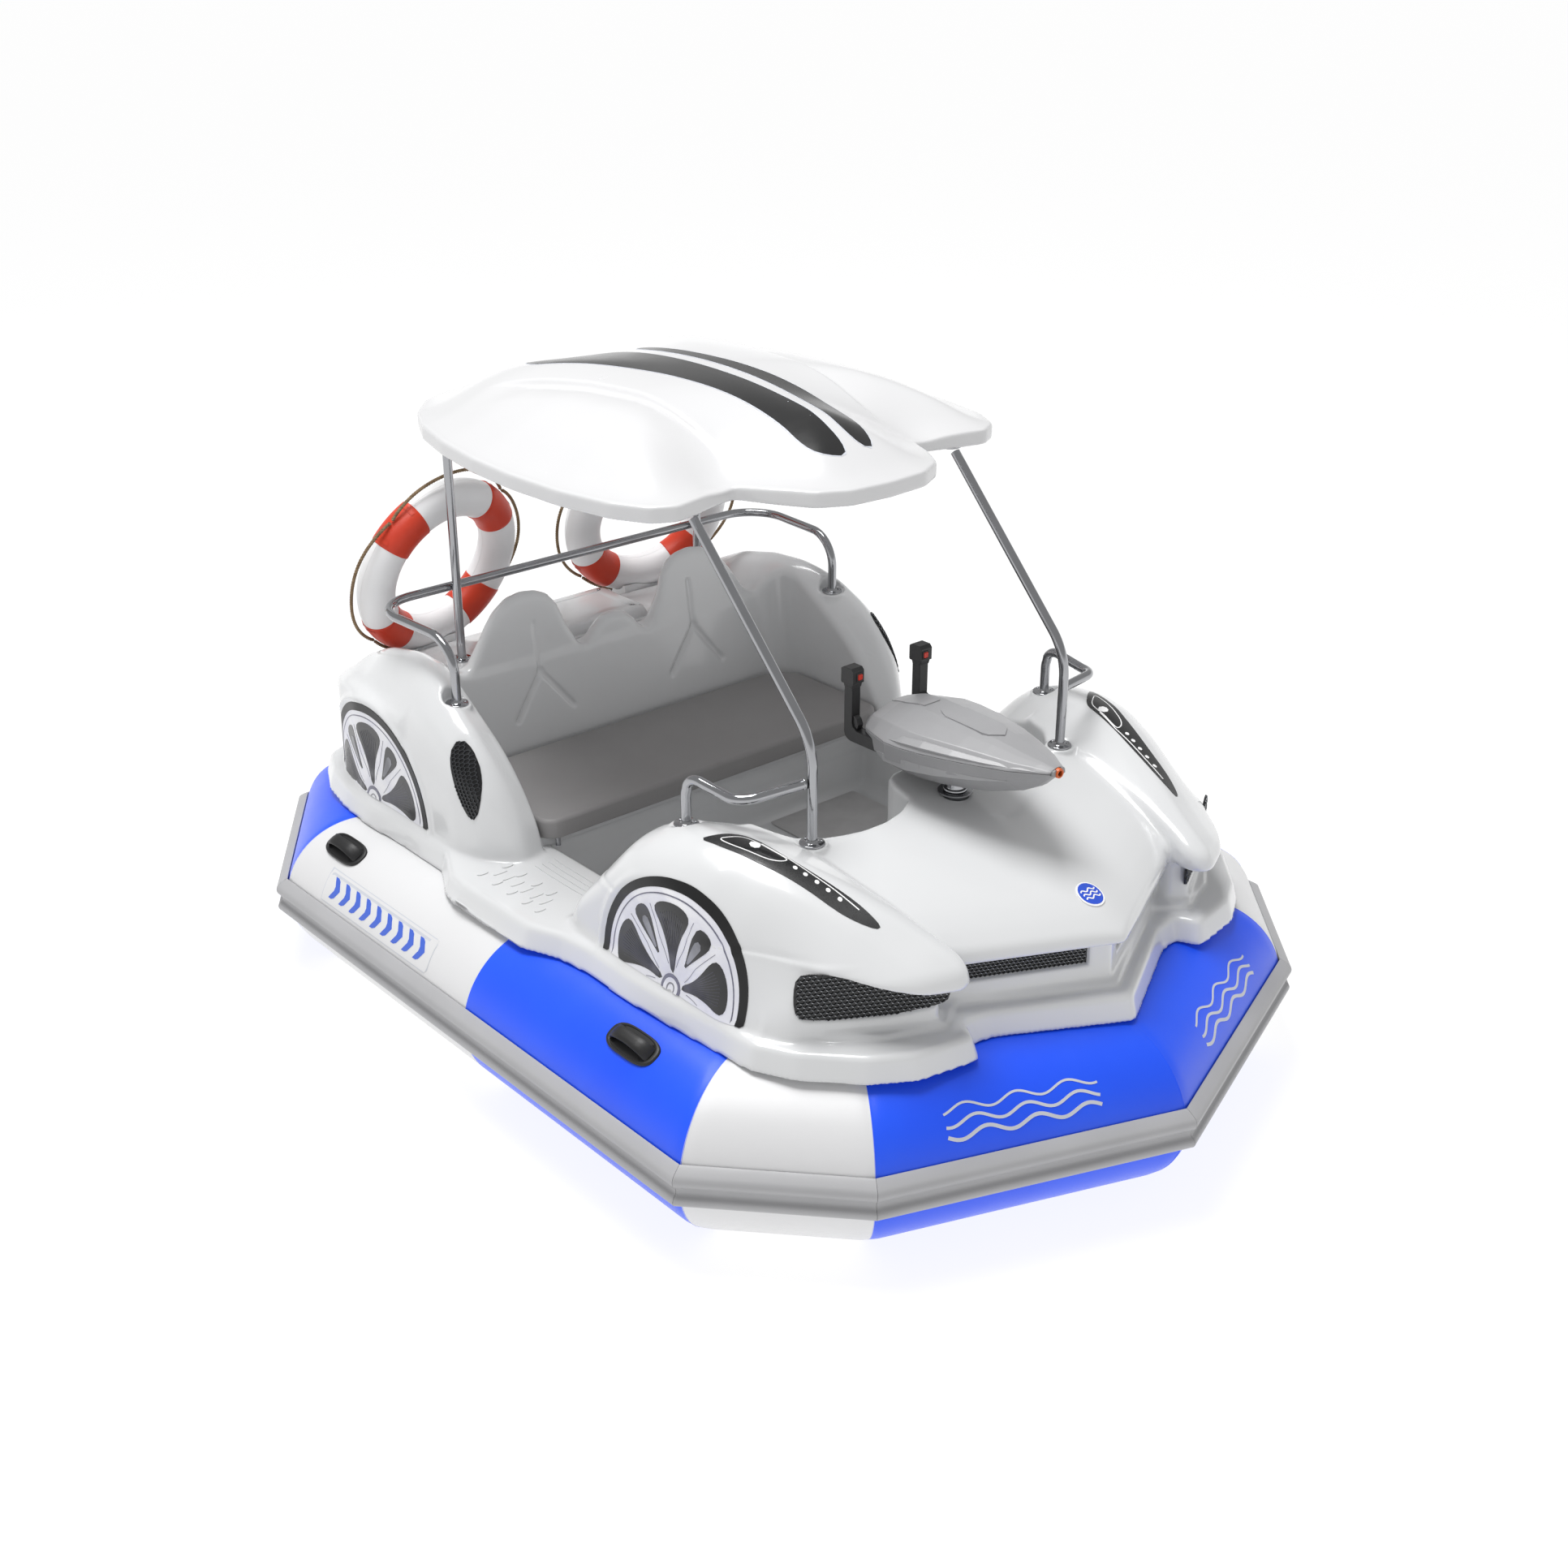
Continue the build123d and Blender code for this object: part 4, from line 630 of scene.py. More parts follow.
# footwell: liner added under the deck, then the well is cut
WELL = [(110, -596), (160, -620), (222, -630), (290, -622), (340, -606), (390, -584), (430, -553), (460, -515), (478, -450), (480, -150), (570, -130), (570, 285),
        (0, 285), (0, -478), (50, -478), (82, -492), (98, -530)]
pw = plan(WELL, 6)
pw_in = np.where(X2[:, :, None] < 8, pw, pw)
d = smin(d, np.maximum(smax(pw - 8, 286 - Z, 6.0), Z - 480), 3.0)
d = smax(d, -smax(pw_in, 310 - Z, 34.0), 12.0)
d = smax(d, -smax(np.sqrt(X ** 2 + (Y - 820) ** 2) - 62, Z - 600, 4.0), 4.0)
d = smax(d, -smax(np.sqrt(X ** 2 + (Y + 645) ** 2) - 33, 560 - Z, 4.0), 4.0)
# seats for the pipe flanges
for (px, py, pz, rr) in ((429, -601, 786.0, 36), (620, -371, 812.0, 36), (669, 542, 842.0, 37), (430, 896, 800.2, 35)):
    rad = np.sqrt((X - px) ** 2 + (Y - py) ** 2)
    d = smin(d, smax(rad - rr - 2, Z - pz, 3.0) + np.where(Z < pz - 60, 30, 0), 8.0)
    d = smax(d, -smax(smax(rad - rr, pz - Z, 3.0), Z - (pz + 60), 3.0), 5.0)
# grille recesses
a1 = X * 0.5097 - (Y + 943) * 0.8604 - 612.5 * 0.5097
u1 = (X - 612.5) * 0.8604 + (Y + 943) * 0.5097
gu, gv = np.meshgrid(np.linspace(-260, 170, 216), np.linspace(-120, 110, 116), indexing="ij")
GR1 = chaikin([(-214, -36), (-228, -10), (-216, 20), (-134, 28), (-60, 40), (20, 54), (100, 72), (124, 62), (130, 20), (127, -30), (104, -50), (-60, -54), (-110, -52)], 2)
tab = poly_sdf(gu, gv, GR1)


def look(tab, uu, vv, u0, du, v0, dv):
    i = np.clip((uu - u0) / du, 0, tab.shape[0] - 1.001)
    j = np.clip((vv - v0) / dv, 0, tab.shape[1] - 1.001)
    ii, jj = i.astype(int), j.astype(int)
    ti, tj = i - ii, j - jj
    return (tab[ii, jj] * (1 - ti) * (1 - tj) + tab[ii + 1, jj] * ti * (1 - tj) + tab[ii, jj + 1] * (1 - ti) * tj + tab[ii + 1, jj + 1] * ti * tj)


s1 = slice(int(380 / HB), 148)
s2 = slice(0, int((1266 - 780) / HB))
s3 = slice(int((500 - 288) / HB), int((690 - 288) / HB))
sub = (s1, s2, s3)
uu = np.broadcast_to(u1, d.shape)[sub]
aa = np.broadcast_to(a1, d.shape)[sub]
vv = np.broadcast_to(Z - 588, d.shape)[sub]
g2 = look(tab, uu, vv, -260, 2.0, -120, 2.0)
d[sub] = smax(d[sub], -smax(g2, -14 - aa + 0, 5.0), 8.0)
nc = (0.4395, -0.8982)
ac = (X - 174) * nc[0] + (Y + 1078) * nc[1]
uc = (X - 174) * 0.8982 + (Y + 1078) * 0.4395
s1 = slice(0, int(420 / HB))
s2 = slice(0, int((1266 - 900) / HB))
sub = (s1, s2, s3)
uu, aa, vv = (np.broadcast_to(q, d.shape)[sub] for q in (uc, ac, Z - 577))
bx2 = np.maximum(np.abs(uu - 16) - 156, np.abs(vv) - 27)
d[sub] = smax(d[sub], -smax(bx2, -14 - aa, 4.0), 6.0)
# side vent recess
VENT = chaikin([(61, 88), (68, 70), (56, 30), (36, -10), (10, -60), (-16, -98), (-34, -106), (-46, -84), (-44, -40), (-32, 0), (0, 48), (42, 82)], 2)
gu, gv = np.meshgrid(np.linspace(-100, 100, 101), np.linspace(-150, 150, 151), indexing="ij")
tab = poly_sdf(gu, gv, VENT)
s1 = slice(int(640 / HB), 148)
s2 = slice(int((1266 + 260) / HB), int((1266 + 470) / HB))
s3 = slice(int((560 - 288) / HB), int((860 - 288) / HB))
sub = (s1, s2, s3)
uu, vv = (np.broadcast_to(q, d.shape)[sub] for q in (Y - 379, Z - 704))
g2 = look(tab, uu, vv, -100, 2.0, -150, 2.0)
d[sub] = smax(d[sub], -smax(g2, -1.5 - d[sub], 1.0), 1.5)
# Y grooves pressed into the backrest
s2 = slice(int((1266 + 640) / HB), int((1266 + 820) / HB))
s3 = slice(int((610 - 288) / HB), int((940 - 288) / HB))
sub = (slice(0, 90), s2, s3)
Xs, fs, Zs = (np.broadcast_to(q, d.shape)[sub] for q in (X, fb, Z))
gr = None
for (xa, za, xb, zb) in ((276, 912, 277, 780), (277, 776, 372, 652), (277, 776, 180, 652)):
    ex, ez = xb - xa, zb - za
    t = np.clip(((Xs - xa) * ex + (Zs - za) * ez) / (ex * ex + ez * ez), 0, 1)
    q = np.sqrt((Xs - xa - ex * t) ** 2 + (Zs - za - ez * t) ** 2 + (fs + 1.0) ** 2) - 8.5
    gr = q if gr is None else smin(gr, q, 8.0)
d[sub] = smax(d[sub], -gr, 5.0)

V, F, N = mesh_field(d, bx, by, bz, HB, 0.0)
BODY_NODES = ("deck_flange", "cockpit_tub", "hood_panel", "front_fenders", "rear_fenders", "seat_back", "rear_deck")
body_obj = add_mesh("moulded_body", V, F, "frp_white", "hull", "frp_white", BODY_NODES, normals=N)
body_bvh = BVHTree.FromPolygons([tuple(v) for v in V], F)
print("body faces", len(F))
# ---- END BODY

# ------------------------------------------------------------------ canopy
HC = 5.0
cx = (np.arange(136) + 0.5) * HC
cy = np.arange(-425.0, 1070.0, HC)
cz = np.arange(1478.0, 1702.0, HC)
CX, CY, CZ = (a.astype(np.float32) for a in (cx[:, None, None], cy[None, :, None], cz[None, None, :]))
CX2, CY2 = np.meshgrid(cx, cy, indexing="ij")
CAN = [(0, -402), (120, -392), (200, -350), (255, -262), (300, -170), (360, -182), (438, -206), (505, -222), (565, -190),
       (612, -100), (645, 60), (655, 250), (646, 430), (618, 610), (575, 770), (510, 900), (430, 990), (320, 1042), (200, 1040),
       (90, 1005), (0, 985)]
cd = blur(poly_sdf(CX2, CY2, both_sides(CAN)), 10, HC)
D = -cd
De = np.sqrt(np.maximum(D, 0) ** 2 + 26.0 ** 2) - 26.0
dome = 1531 + 146 * (1 - np.exp(-(De / 190.0) ** 1.4))
dome = np.where(D > 40, blur(dome, 22, HC), dome * (1 - np.clip(D / 40, 0, 1)) + blur(dome, 22, HC) * np.clip(D / 40, 0, 1))
dome = blur(dome, 7, HC)
dome = dome - 10 * np.exp(-((CX2 - 330) / 60.0) ** 2) * step01(CY2, 60, -160)
xi = curve(CY2, [(-110, 262), (0, 254), (106, 258), (261, 266), (423, 286), (575, 331), (697, 380)], 20)
s = (CX2 - xi) / 112.0
groove = np.where((s > -0.06) & (s < 1), np.clip((s + 0.06) / 0.12, 0, 1) * (1 - np.clip(s, 0, 1)) ** 1.6, 0)
dome = dome - blur(15.0 * groove * step01(CY2, -130, 60) * step01(CY2, 740, 560), 3.5, HC)
gx, gy = np.gradient(dome, HC)
cg = (1 / np.sqrt(1 + gx * gx + gy * gy)).astype(np.float32)[:, :, None]
c3 = cd.astype(np.float32)[:, :, None]
Hc3 = dome.astype(np.float32)[:, :, None]
can = smax((CZ - Hc3) * cg, c3, 10.0)
can = smax(can, 1489.6 - CZ, 6.0)
can = smax(can, -smax(smax(CZ - (Hc3 - 24), c3 + 46, 14.0), 1480 - CZ, 2.0), 8.0)
V, F, N = mesh_field(can, cx, cy, cz, HC)
add_mesh("canopy_moulding", V, F, "canopy_white", "hull", "frp_white", ("canopy_shell",), normals=N)
can_bvh = BVHTree.FromPolygons([tuple(v) for v in V], F)


def drape(bvh, view, s):
    """2D points onto a surface: 'top' takes (x, y), 'side' takes (y, z) seen from the s side."""
    def mapf(v):
        pos, nor = np.full((len(v), 3), np.nan), np.full((len(v), 3), np.nan)
        for i, p in enumerate(v):
            if view == "top":
                r = bvh.ray_cast(Vector((s * p[0] * MM, p[1] * MM, 1.9)), Vector((0, 0, -1)))
            else:
                r = bvh.ray_cast(Vector((s * 1.2, p[0] * MM, p[1] * MM)), Vector((-s, 0, 0)))
            if r[0] is not None:
                pos[i] = np.array(r[0]) * 1000
                nor[i] = np.array(r[1])
                if (view == "top" and nor[i][2] < 0) or (view == "side" and nor[i][0] * s < 0):
                    nor[i] = -nor[i]
        return pos, nor
    return mapf


bag = Bag()
top = drape(can_bvh, "top", 1)
WIDE = [(-271, 718), (-213, 614), (-172, 523), (-130, 371), (-99, 211), (-86, 102), (-84, -7), (-94, -112), (-108, -179), (-108, -233), (-84, -268), (-40, -286),
        (-22, -240), (-16, -182), (2, -60), (12, 107), (12, 284), (3, 478), (-18, 635), (-60, 743), (-150, 790), (-230, 790)]
NARROW = [(30, 640), (38, 555), (50, 415), (55, 275), (52, 131), (44, 0), (28, -110), (16, -200), (20, -262), (44, -284), (66, -250), (90, -170), (104, -90), (112, 1), (110, 131),
          (104, 275), (92, 415), (74, 555), (52, 660)]
for shape in (WIDE, NARROW):
    big = chaikin(shape, 2)
    cen = big.mean(0)
    e = np.roll(big, -1, 0) - np.roll(big, 1, 0)
    nrm = np.stack([e[:, 1], -e[:, 0]], 1) / np.linalg.norm(e, axis=1)[:, None]
    if poly_sdf((big + nrm * 3)[:1, 0], (big + nrm * 3)[:1, 1], big)[0] < 0:
        nrm = -nrm
    sheet(bag, big + nrm * 3.5, 22, top, 0.7, 1)
    sheet(bag, big, 22, top, 1.3, 0)
bag.make("canopy_stripes", ["stripe", "mark"], "hull", None, angle=40)
bag = Bag()
for q in ([(628, 40), (600, 70), (470, 330), (430, 455), (455, 440), (520, 330), (640, 130), (648, 80)],):
    pass
for k in range(4):
    y0 = 40 + k * 62
    sheet(bag, chaikin([(552, y0), (606, y0 + 18), (606, y0 + 46), (552, y0 + 26)], 1), 16, top, 0.9, 0)
sheet(bag, chaikin([(560, 300), (622, 322), (618, 520), (594, 600), (570, 500)], 2), 18, top, 0.9, 0)
bag.make("canopy_flash", ["amber"], "hull", None, angle=40)

# ------------------------------------------------------------------ headlight decals
bag = Bag()
LAMP = chaikin([(674, -488), (642, -506), (613, -528), (592, -546), (582, -571), (574, -607), (563, -659), (546, -725), (530, -790), (517, -849), (511, -895), (510, -926),
                (522, -920), (536, -901), (554, -868), (568, -833), (586, -770), (604, -716), (624, -663), (641, -618), (656, -571), (665, -537)], 1)
EYE = chaikin([(650, -523), (624, -540), (600, -556), (590, -580), (583, -616), (573, -648), (567, -675), (581, -675), (596, -664), (610, -646), (628, -604), (641, -568)], 2)
for s in (-1, 1):
    m = drape(body_bvh, "top", s)
    sheet(bag, LAMP, 9, m, 1.6, 0)
    sheet(bag, EYE, 7, m, 2.0, 1)
    loop = resample(np.concatenate([EYE, EYE[:1]]), 6)
    for a, b in zip(loop[:-1], loop[1:]):
        bars(bag, [(a, b + (b - a) * 0.12)], 2.6, m, 2.5, 2)
    line = resample(np.array([(583, -600), (573, -640), (563, -673), (552, -731), (537, -797), (525, -866)], float), 7)
    for a, b in zip(line[:-1], line[1:]):
        bars(bag, [(a, b + (b - a) * 0.12)], 2.6, m, 2.5, 2)
    for k, (px, py) in enumerate([(600, -597), (572, -704), (565, -731), (557, -761), (550, -791), (543, -823)]):
        rr = 12.5 if k == 0 else 5.2
        aa = np.linspace(0, 2 * math.pi, 20, endpoint=False)
        sheet(bag, np.stack([px + rr * np.cos(aa), py + rr * 1.15 * np.sin(aa)], 1), rr * 0.8, m, 3.0, 2)
bag.make("headlight_decals", ["lampk", "lampd", "lampw"], "hull", "black_plastic", ("headlight_panels",), angle=40)

# badge: plain disc with a rim, a generic wave across it
bag = Bag()
m = drape(body_bvh, "top", 1)
aa = np.linspace(0, 2 * math.pi, 36, endpoint=False)
sheet(bag, np.stack([34 * np.cos(aa), -1088 + 34 * np.sin(aa)], 1), 8, m, 3.2, 1)
sheet(bag, np.stack([30 * np.cos(aa), -1088 + 30 * np.sin(aa)], 1), 8, m, 3.8, 0)
for k in (-1, 0, 1):
    xs_ = np.linspace(-22, 22, 19)
    w = np.stack([xs_, -1088 + k * 10 + 3.2 * np.sin(xs_ / 22 * math.pi * 2)], 1)
    for a, b in zip(w[:-1], w[1:]):
        bars(bag, [(a, b + (b - a) * 0.1)], 3.2, m, 4.4, 1)
bag.make("nose_roundel", ["badge", "lampw"], "hull", "badge", ("nose_badge",), angle=40)


# ------------------------------------------------------------------ printed wheels
def clip_low(poly, vmin):
    out = []
    P = [tuple(p) for p in poly]
    for i in range(len(P)):
        a, b = P[i - 1], P[i]
        ia, ib = a[1] >= vmin, b[1] >= vmin
        if ia != ib:
            t = (vmin - a[1]) / (b[1] - a[1])
            out.append((a[0] + t * (b[0] - a[0]), vmin))
        if ib:
            out.append(b)
    return np.array(out)


def sector(r0, r1, a0, a1, n=40):
    a = np.radians(np.linspace(a0, a1, n))
    return np.concatenate([np.stack([r1 * np.cos(a), r1 * np.sin(a)], 1), np.stack([r0 * np.cos(a[::-1]), r0 * np.sin(a[::-1])], 1)])


def polar(pts):
    return np.array([(r * math.cos(math.radians(a)), r * math.sin(math.radians(a))) for r, a in pts])


tyre, disc = Bag(), Bag()
for (yc, zc, R) in ((-530, 505, 265), (829, 495, 277)):
    k = R / 265.0
    vmin = 499 - zc
    for s in (-1, 1):
        base = drape(body_bvh, "side", s)

        def mf(v, base=base, yc=yc, zc=zc):
            q = v[:, 0] * np.where((v[:, 0] < 0) & (yc < 0), 0.88, 1.0)
            return base(np.stack([q + yc, v[:, 1] + zc], 1))
        e = math.degrees(math.asin(min(1, abs(vmin) / R)))
        lo = e if vmin > 0 else -e
        sheet(tyre, clip_low(sector(243 * k, R, lo - 2, 182 - lo, 60), vmin), 14, mf, 1.8, 0)
        sheet(disc, clip_low(sector(1, 243.5 * k, -6, 186, 60), vmin), 16, mf, 1.2, 0)
        sheet(disc, clip_low(sector(228 * k, 231 * k, -6, 186, 60), vmin), 14, mf, 1.7, 1)
        for c in range(-56, 300, 72):
            fan = chaikin(polar([(40 * k, c - 9), (90 * k, c - 9), (140 * k, c - 14), (185 * k, c - 19), (203 * k, c - 18), (213 * k, c - 11), (216 * k, c), (213 * k, c + 11),
                                 (203 * k, c + 18), (185 * k, c + 19), (140 * k, c + 14), (90 * k, c + 9), (40 * k, c + 9)]), 2)
            q = clip_low(fan, vmin)
            if len(q) > 2 and q[:, 1].max() > vmin + 6:
                sheet(disc, q, 12, mf, 1.9, 2)
                for j in range(-5, 6):
                    r1 = (196 - abs(j) * 2.0) * k
                    pth = polar([(r, c + j * (0.9 + 1.75 * r / (200 * k))) for r in np.linspace(52 * k, r1, 9)])
                    for a, b in zip(pth[:-1], pth[1:]):
                        if min(a[1], b[1]) > vmin + 1:
                            bars(disc, [(a, b)], 1.3 + 1.0 * (1 - np.linalg.norm(a) / (220 * k)), mf, 2.4, 5)
        for c in range(-20, 300, 72):
            slot = chaikin(polar([(76 * k, c), (110 * k, c - 4.2), (150 * k, c - 7.6), (190 * k, c - 9), (206 * k, c - 7.5), (213 * k, c), (206 * k, c + 7.5),
                                  (190 * k, c + 9), (150 * k, c + 7.6), (110 * k, c + 4.2)]), 2)
            q = clip_low(slot, vmin)
            if len(q) > 2 and q[:, 1].max() > vmin + 6:
                sheet(disc, q, 12, mf, 1.9, 2)
            inner = chaikin(polar([(92 * k, c + 0.4), (120 * k, c - 3.2), (170 * k, c - 4.4), (180 * k, c - 3.4), (183 * k, c + 1), (178 * k, c + 4.4), (150 * k, c + 4.2), (120 * k, c + 3.4)]), 2)
            q = clip_low(inner, vmin)
            if len(q) > 2 and q[:, 1].max() > vmin + 6:
                sheet(disc, q, 12, mf, 2.5, 4)
            for sg in (-1, 1):
                edge = polar([(r, c + sg * (13.5 + 16.0 * max(0, (120 * k - r)) / (120 * k))) for r in np.linspace(60 * k, 205 * k, 10)])
                for a, b in zip(edge[:-1], edge[1:]):
                    if min(a[1], b[1]) > vmin + 1:
                        bars(disc, [(a, b)], 1.1, mf, 1.8, 1)
        sheet(disc, clip_low(sector(0.5, 36 * k, -30, 210, 30), vmin), 8, mf, 2.8, 1)
        sheet(disc, clip_low(sector(0.5, 27 * k, -30, 210, 30), vmin), 8, mf, 3.6, 0)
        sheet(disc, clip_low(sector(11 * k, 15 * k, -30, 210, 30), vmin), 5, mf, 4.2, 3)
tyre.make("tyre_prints", ["tyre"], "hull", "black_rubber", ("tyre_rings",), angle=40)
M["flute"] = material("print_flute", (62, 62, 74), 0.3, tint=(40, 40, 50), scale=20.0, coat=0.3)
disc.make("wheel_prints", ["silver", "lilac", "fan", "slotg", "slotg", "flute"], "hull", "wheel_print", ("wheel_covers",), angle=40)


# ------------------------------------------------------------------ grilles and vents
def plane_map(s, o, du, n, off):
    def mapf(v):
        x = o[0] + du[0] * v[:, 0] + n[0] * off
        y = o[1] + du[1] * v[:, 0] + n[1] * off
        pos = np.stack([s * x, y, o[2] + v[:, 1]], 1)
        return pos, np.tile(np.array([s * n[0], n[1], 0.0]), (len(v), 1))
    return mapf


def grille(bag, outline, mapf, cell, glint=True, squash=0.85):
    sheet(bag, outline, 20, mapf, 0.4, 0, under=3.0)
    segs = hex_segs(outline, cell, squash)
    bars(bag, segs, cell * 0.22, mapf, 3.2, 1, under=0.5)
    if glint:
        # painted highlight: lighter bars on the up-sloping hex edges stand in for glints of light on the mesh
        up = [(np.array(a) * 0.8 + np.array(b) * 0.2, np.array(a) * 0.2 + np.array(b) * 0.8) for a, b in segs if (a[0] - b[0]) * (a[1] - b[1]) > 1]
        bars(bag, up, cell * 0.13, mapf, 3.7, 2, under=-2.5)


bag = Bag()
for s in (-1, 1):
    grille(bag, GR1 * np.array([1.01, 1.02]), plane_map(s, (612.5, -943, 588), (0.8604, 0.5097), (0.5097, -0.8604), -11.5), 7.5)
bag.make("front_grille_mesh", ["blackm", "barm", "painted_glint"], "hull", "black_mesh", ("front_grilles",), smooth=False)
bag = Bag()
rect = np.array([(-141, -28), (172, -28), (172, 36), (-141, 36)], float)
for s in (-1, 1):
    grille(bag, rect, plane_map(s, (174, -1078, 577), (0.8982, 0.4395), (0.4395, -0.8982), -12.5), 6.5)
bag.make("centre_grille_mesh", ["blackm", "barm", "painted_glint"], "hull", "black_mesh", ("centre_grille",), smooth=False)
bag = Bag()
for s in (-1, 1):
    side = drape(body_bvh, "side", s)

    def vmap(v, side=side):
        pos, nor = side(v + np.array([379, 704]))
        return pos + nor * 1.8, nor
    grille(bag, VENT, vmap, 6.0, glint=False, squash=1.0)
bag.make("side_vent_mesh", ["blackm", "barm"], "hull", "black_mesh", ("side_vents",), smooth=False)

# anti-slip pads and ribs on the step plates
bag = Bag()
for s in (-1, 1):
    m = drape(body_bvh, "top", s)
    for (xc, ys_) in ((800, (0, 57, 124, 191, 259)), (728, (54, 119, 188, 252))):
        for yc in ys_:
            a = np.linspace(0, 2 * math.pi, 20, endpoint=False)
            pad = np.stack([xc + 17 * np.sign(np.cos(a)) * np.abs(np.cos(a)) ** 0.8, yc + 8 * np.sign(np.sin(a)) * np.abs(np.sin(a)) ** 0.8], 1)
            sheet(bag, pad, 7, m, 2.6, 0)
    for yc in (26, 68, 110, 152, 194, 232):
        a = np.linspace(0, 2 * math.pi, 20, endpoint=False)
        sheet(bag, np.stack([764 + 21 * np.sign(np.cos(a)) * np.abs(np.cos(a)) ** 0.5, yc + 5 * np.sign(np.sin(a)) * np.abs(np.sin(a)) ** 0.7], 1), 7, m, 2.0, 0)
    for xc in (612, 632, 652, 672):
        sheet(bag, chaikin([(xc - 5, -40 + (xc - 612) * 0.2), (xc + 5, -44 + (xc - 612) * 0.2), (xc + 5, 206), (xc - 5, 206)], 1), 9, m, 2.2, 0)
bag.make("step_pads", ["frp_white"], "hull", "frp_white", angle=50)

# ------------------------------------------------------------------ inflated collar and rub rail
RIDGE = [(0, -1451), (740.7, -1171), (1045, -836.5), (1045, 961), (708, 1451),
         (-708, 1451), (-1045, 961), (-1045, -836.5), (-740.7, -1171)]


def inset(pts, dd):
    n = len(pts)
    out = []
    for i in range(n):
        a, b, c = (np.array(pts[j % n], float) for j in (i - 1, i, i + 1))
        d1, d2 = (b - a) / np.linalg.norm(b - a), (c - b) / np.linalg.norm(c - b)
        n1, n2 = np.array([-d1[1], d1[0]]), np.array([-d2[1], d2[0]])
        out.append(b + dd * (n1 + n2) / (1 + n1 @ n2))
    return out


CENT = inset(RIDGE, 241.0)
NC = len(CENT)


def run(i, prof, t0=None, t1=None, ts=None, gap=0.0, pinch=0.0):
    """Length i of the collar with a (out, z) profile; t0 or t1 cut it square at that y instead of on the mitre."""
    a, b = CENT[i], CENT[(i + 1) % NC]
    dd = (b - a) / np.linalg.norm(b - a)
    out = np.array([dd[1], -dd[0]])

    def mit(j):
        p, q, r = CENT[j - 1], CENT[j % NC], CENT[(j + 1) % NC]
        v = (q - p) / np.linalg.norm(q - p) + (r - q) / np.linalg.norm(r - q)
        return q, v / np.linalg.norm(v)
    rings = []
    ts = ts if ts is not None else [0, 0.003, 0.008, 0.016, 0.03, 0.05, 0.08, 0.14, 0.24, 0.38, 0.5, 0.62, 0.76, 0.86, 0.92, 0.95, 0.97, 0.984, 0.992, 0.997, 1]
    prof = np.asarray(prof, float)
    U, Zp = prof[:, 0], prof[:, 1]
    L = np.linalg.norm(b - a)
    for t in ts:
        ends = []
        for (q, v), y, sg in ((mit(i), t0, 1), (mit(i + 1), t1, -1)):
            if y is None:
                off = gap * sg
                ends.append(((q - a) @ v + off - (out @ v) * U) / (dd @ v))
            else:
                ends.append(np.full(len(U), (y - a[1]) / dd[1]))
        s = ends[0] * (1 - t) + ends[1] * t
        dist = np.minimum((s - ends[0]) if t0 is None else 1e9, (ends[1] - s) if t1 is None else 1e9)
        kk = 1 - pinch * np.exp(-(dist / 14.0) ** 2) / 214.0
        rings.append(np.stack([a[0] + dd[0] * s + out[0] * U * kk, a[1] + dd[1] * s + out[1] * U * kk, 214 + (Zp - 214) * kk], 1))
    v = np.concatenate(rings)
    n = len(prof)
    f = [tuple(reversed(x)) for x in grid_faces(len(ts), n, close_v=True)]
    f.append(tuple(range(n)))
    f.append(tuple((len(ts) - 1) * n + k for k in range(n - 1, -1, -1)))
    return v * MM, f


ang = np.linspace(0, 2 * math.pi, 96, endpoint=False)
ROUND = np.stack([214 * np.cos(ang), 214 + 214 * np.sin(ang)], 1)
for name, parts, mat_, node, slot_ in (
        ("collar_bow_blue", [(0, None, None), (8, None, None)], "pvc_blue", "air_tube_front", "pvc_blue"),
        ("collar_shoulder_white", [(1, None, None), (7, None, None)], "pvc_white", "air_tube_front", "pvc_white"),
        ("collar_side_blue", [(2, None, 41), (6, 41, None)], "pvc_blue", "air_tube_sides", "pvc_blue"),
        ("collar_side_white", [(2, 41, None), (6, None, 41)], "pvc_white", "air_tube_sides", "pvc_white"),
        ("collar_quarter_blue", [(3, None, None), (5, None, None)], "pvc_blue", "air_tube_rear", "pvc_blue"),
        ("collar_stern_white", [(4, None, None)], "pvc_white", "air_tube_rear", "pvc_white")):
    bag = Bag()
    for i, t0, t1 in parts:
        v, f = run(i, ROUND, t0, t1, pinch=2.6)
        bag.add(v, f)
    bag.make(name, [mat_], "hull", slot_, (node,), angle=50)

RAIL = [(206.4, 276), (213.6, 245), (215.4, 214), (212.9, 178), (229, 178), (238, 183), (241, 193),
        (238, 202), (229, 207), (226, 214), (229, 227), (237, 232), (241, 244), (238, 256), (228, 264), (214, 273)]
RP = chaikin(RAIL, 2)
bag = Bag()
for i in range(9):
    v, f = run(i, RP, ts=[0, 0.004, 0.02, 0.2, 0.5, 0.8, 0.98, 0.996, 1], gap=0.4)
    bag.add(v, f)
bag.make("rub_rail_strip", ["rail"], "hull", "rail_grey", ("rub_rail",), angle=42)


def on_collar(i, lift0=0.0):
    """(s, a) points, s mm along length i from its first corner and a mm round the tube up from its outer side."""
    a, b = CENT[i], CENT[(i + 1) % NC]
    dd = (b - a) / np.linalg.norm(b - a)
    out = np.array([dd[1], -dd[0]])

    def mapf(v):
        th = v[:, 1] / 214.0
        nor = np.stack([out[0] * np.cos(th), out[1] * np.cos(th), np.sin(th)], 1)
        pos = np.stack([a[0] + dd[0] * v[:, 0], a[1] + dd[1] * v[:, 0], np.full(len(v), 214.0)], 1) + nor * (214.0 + lift0)
        return pos, nor
    return mapf


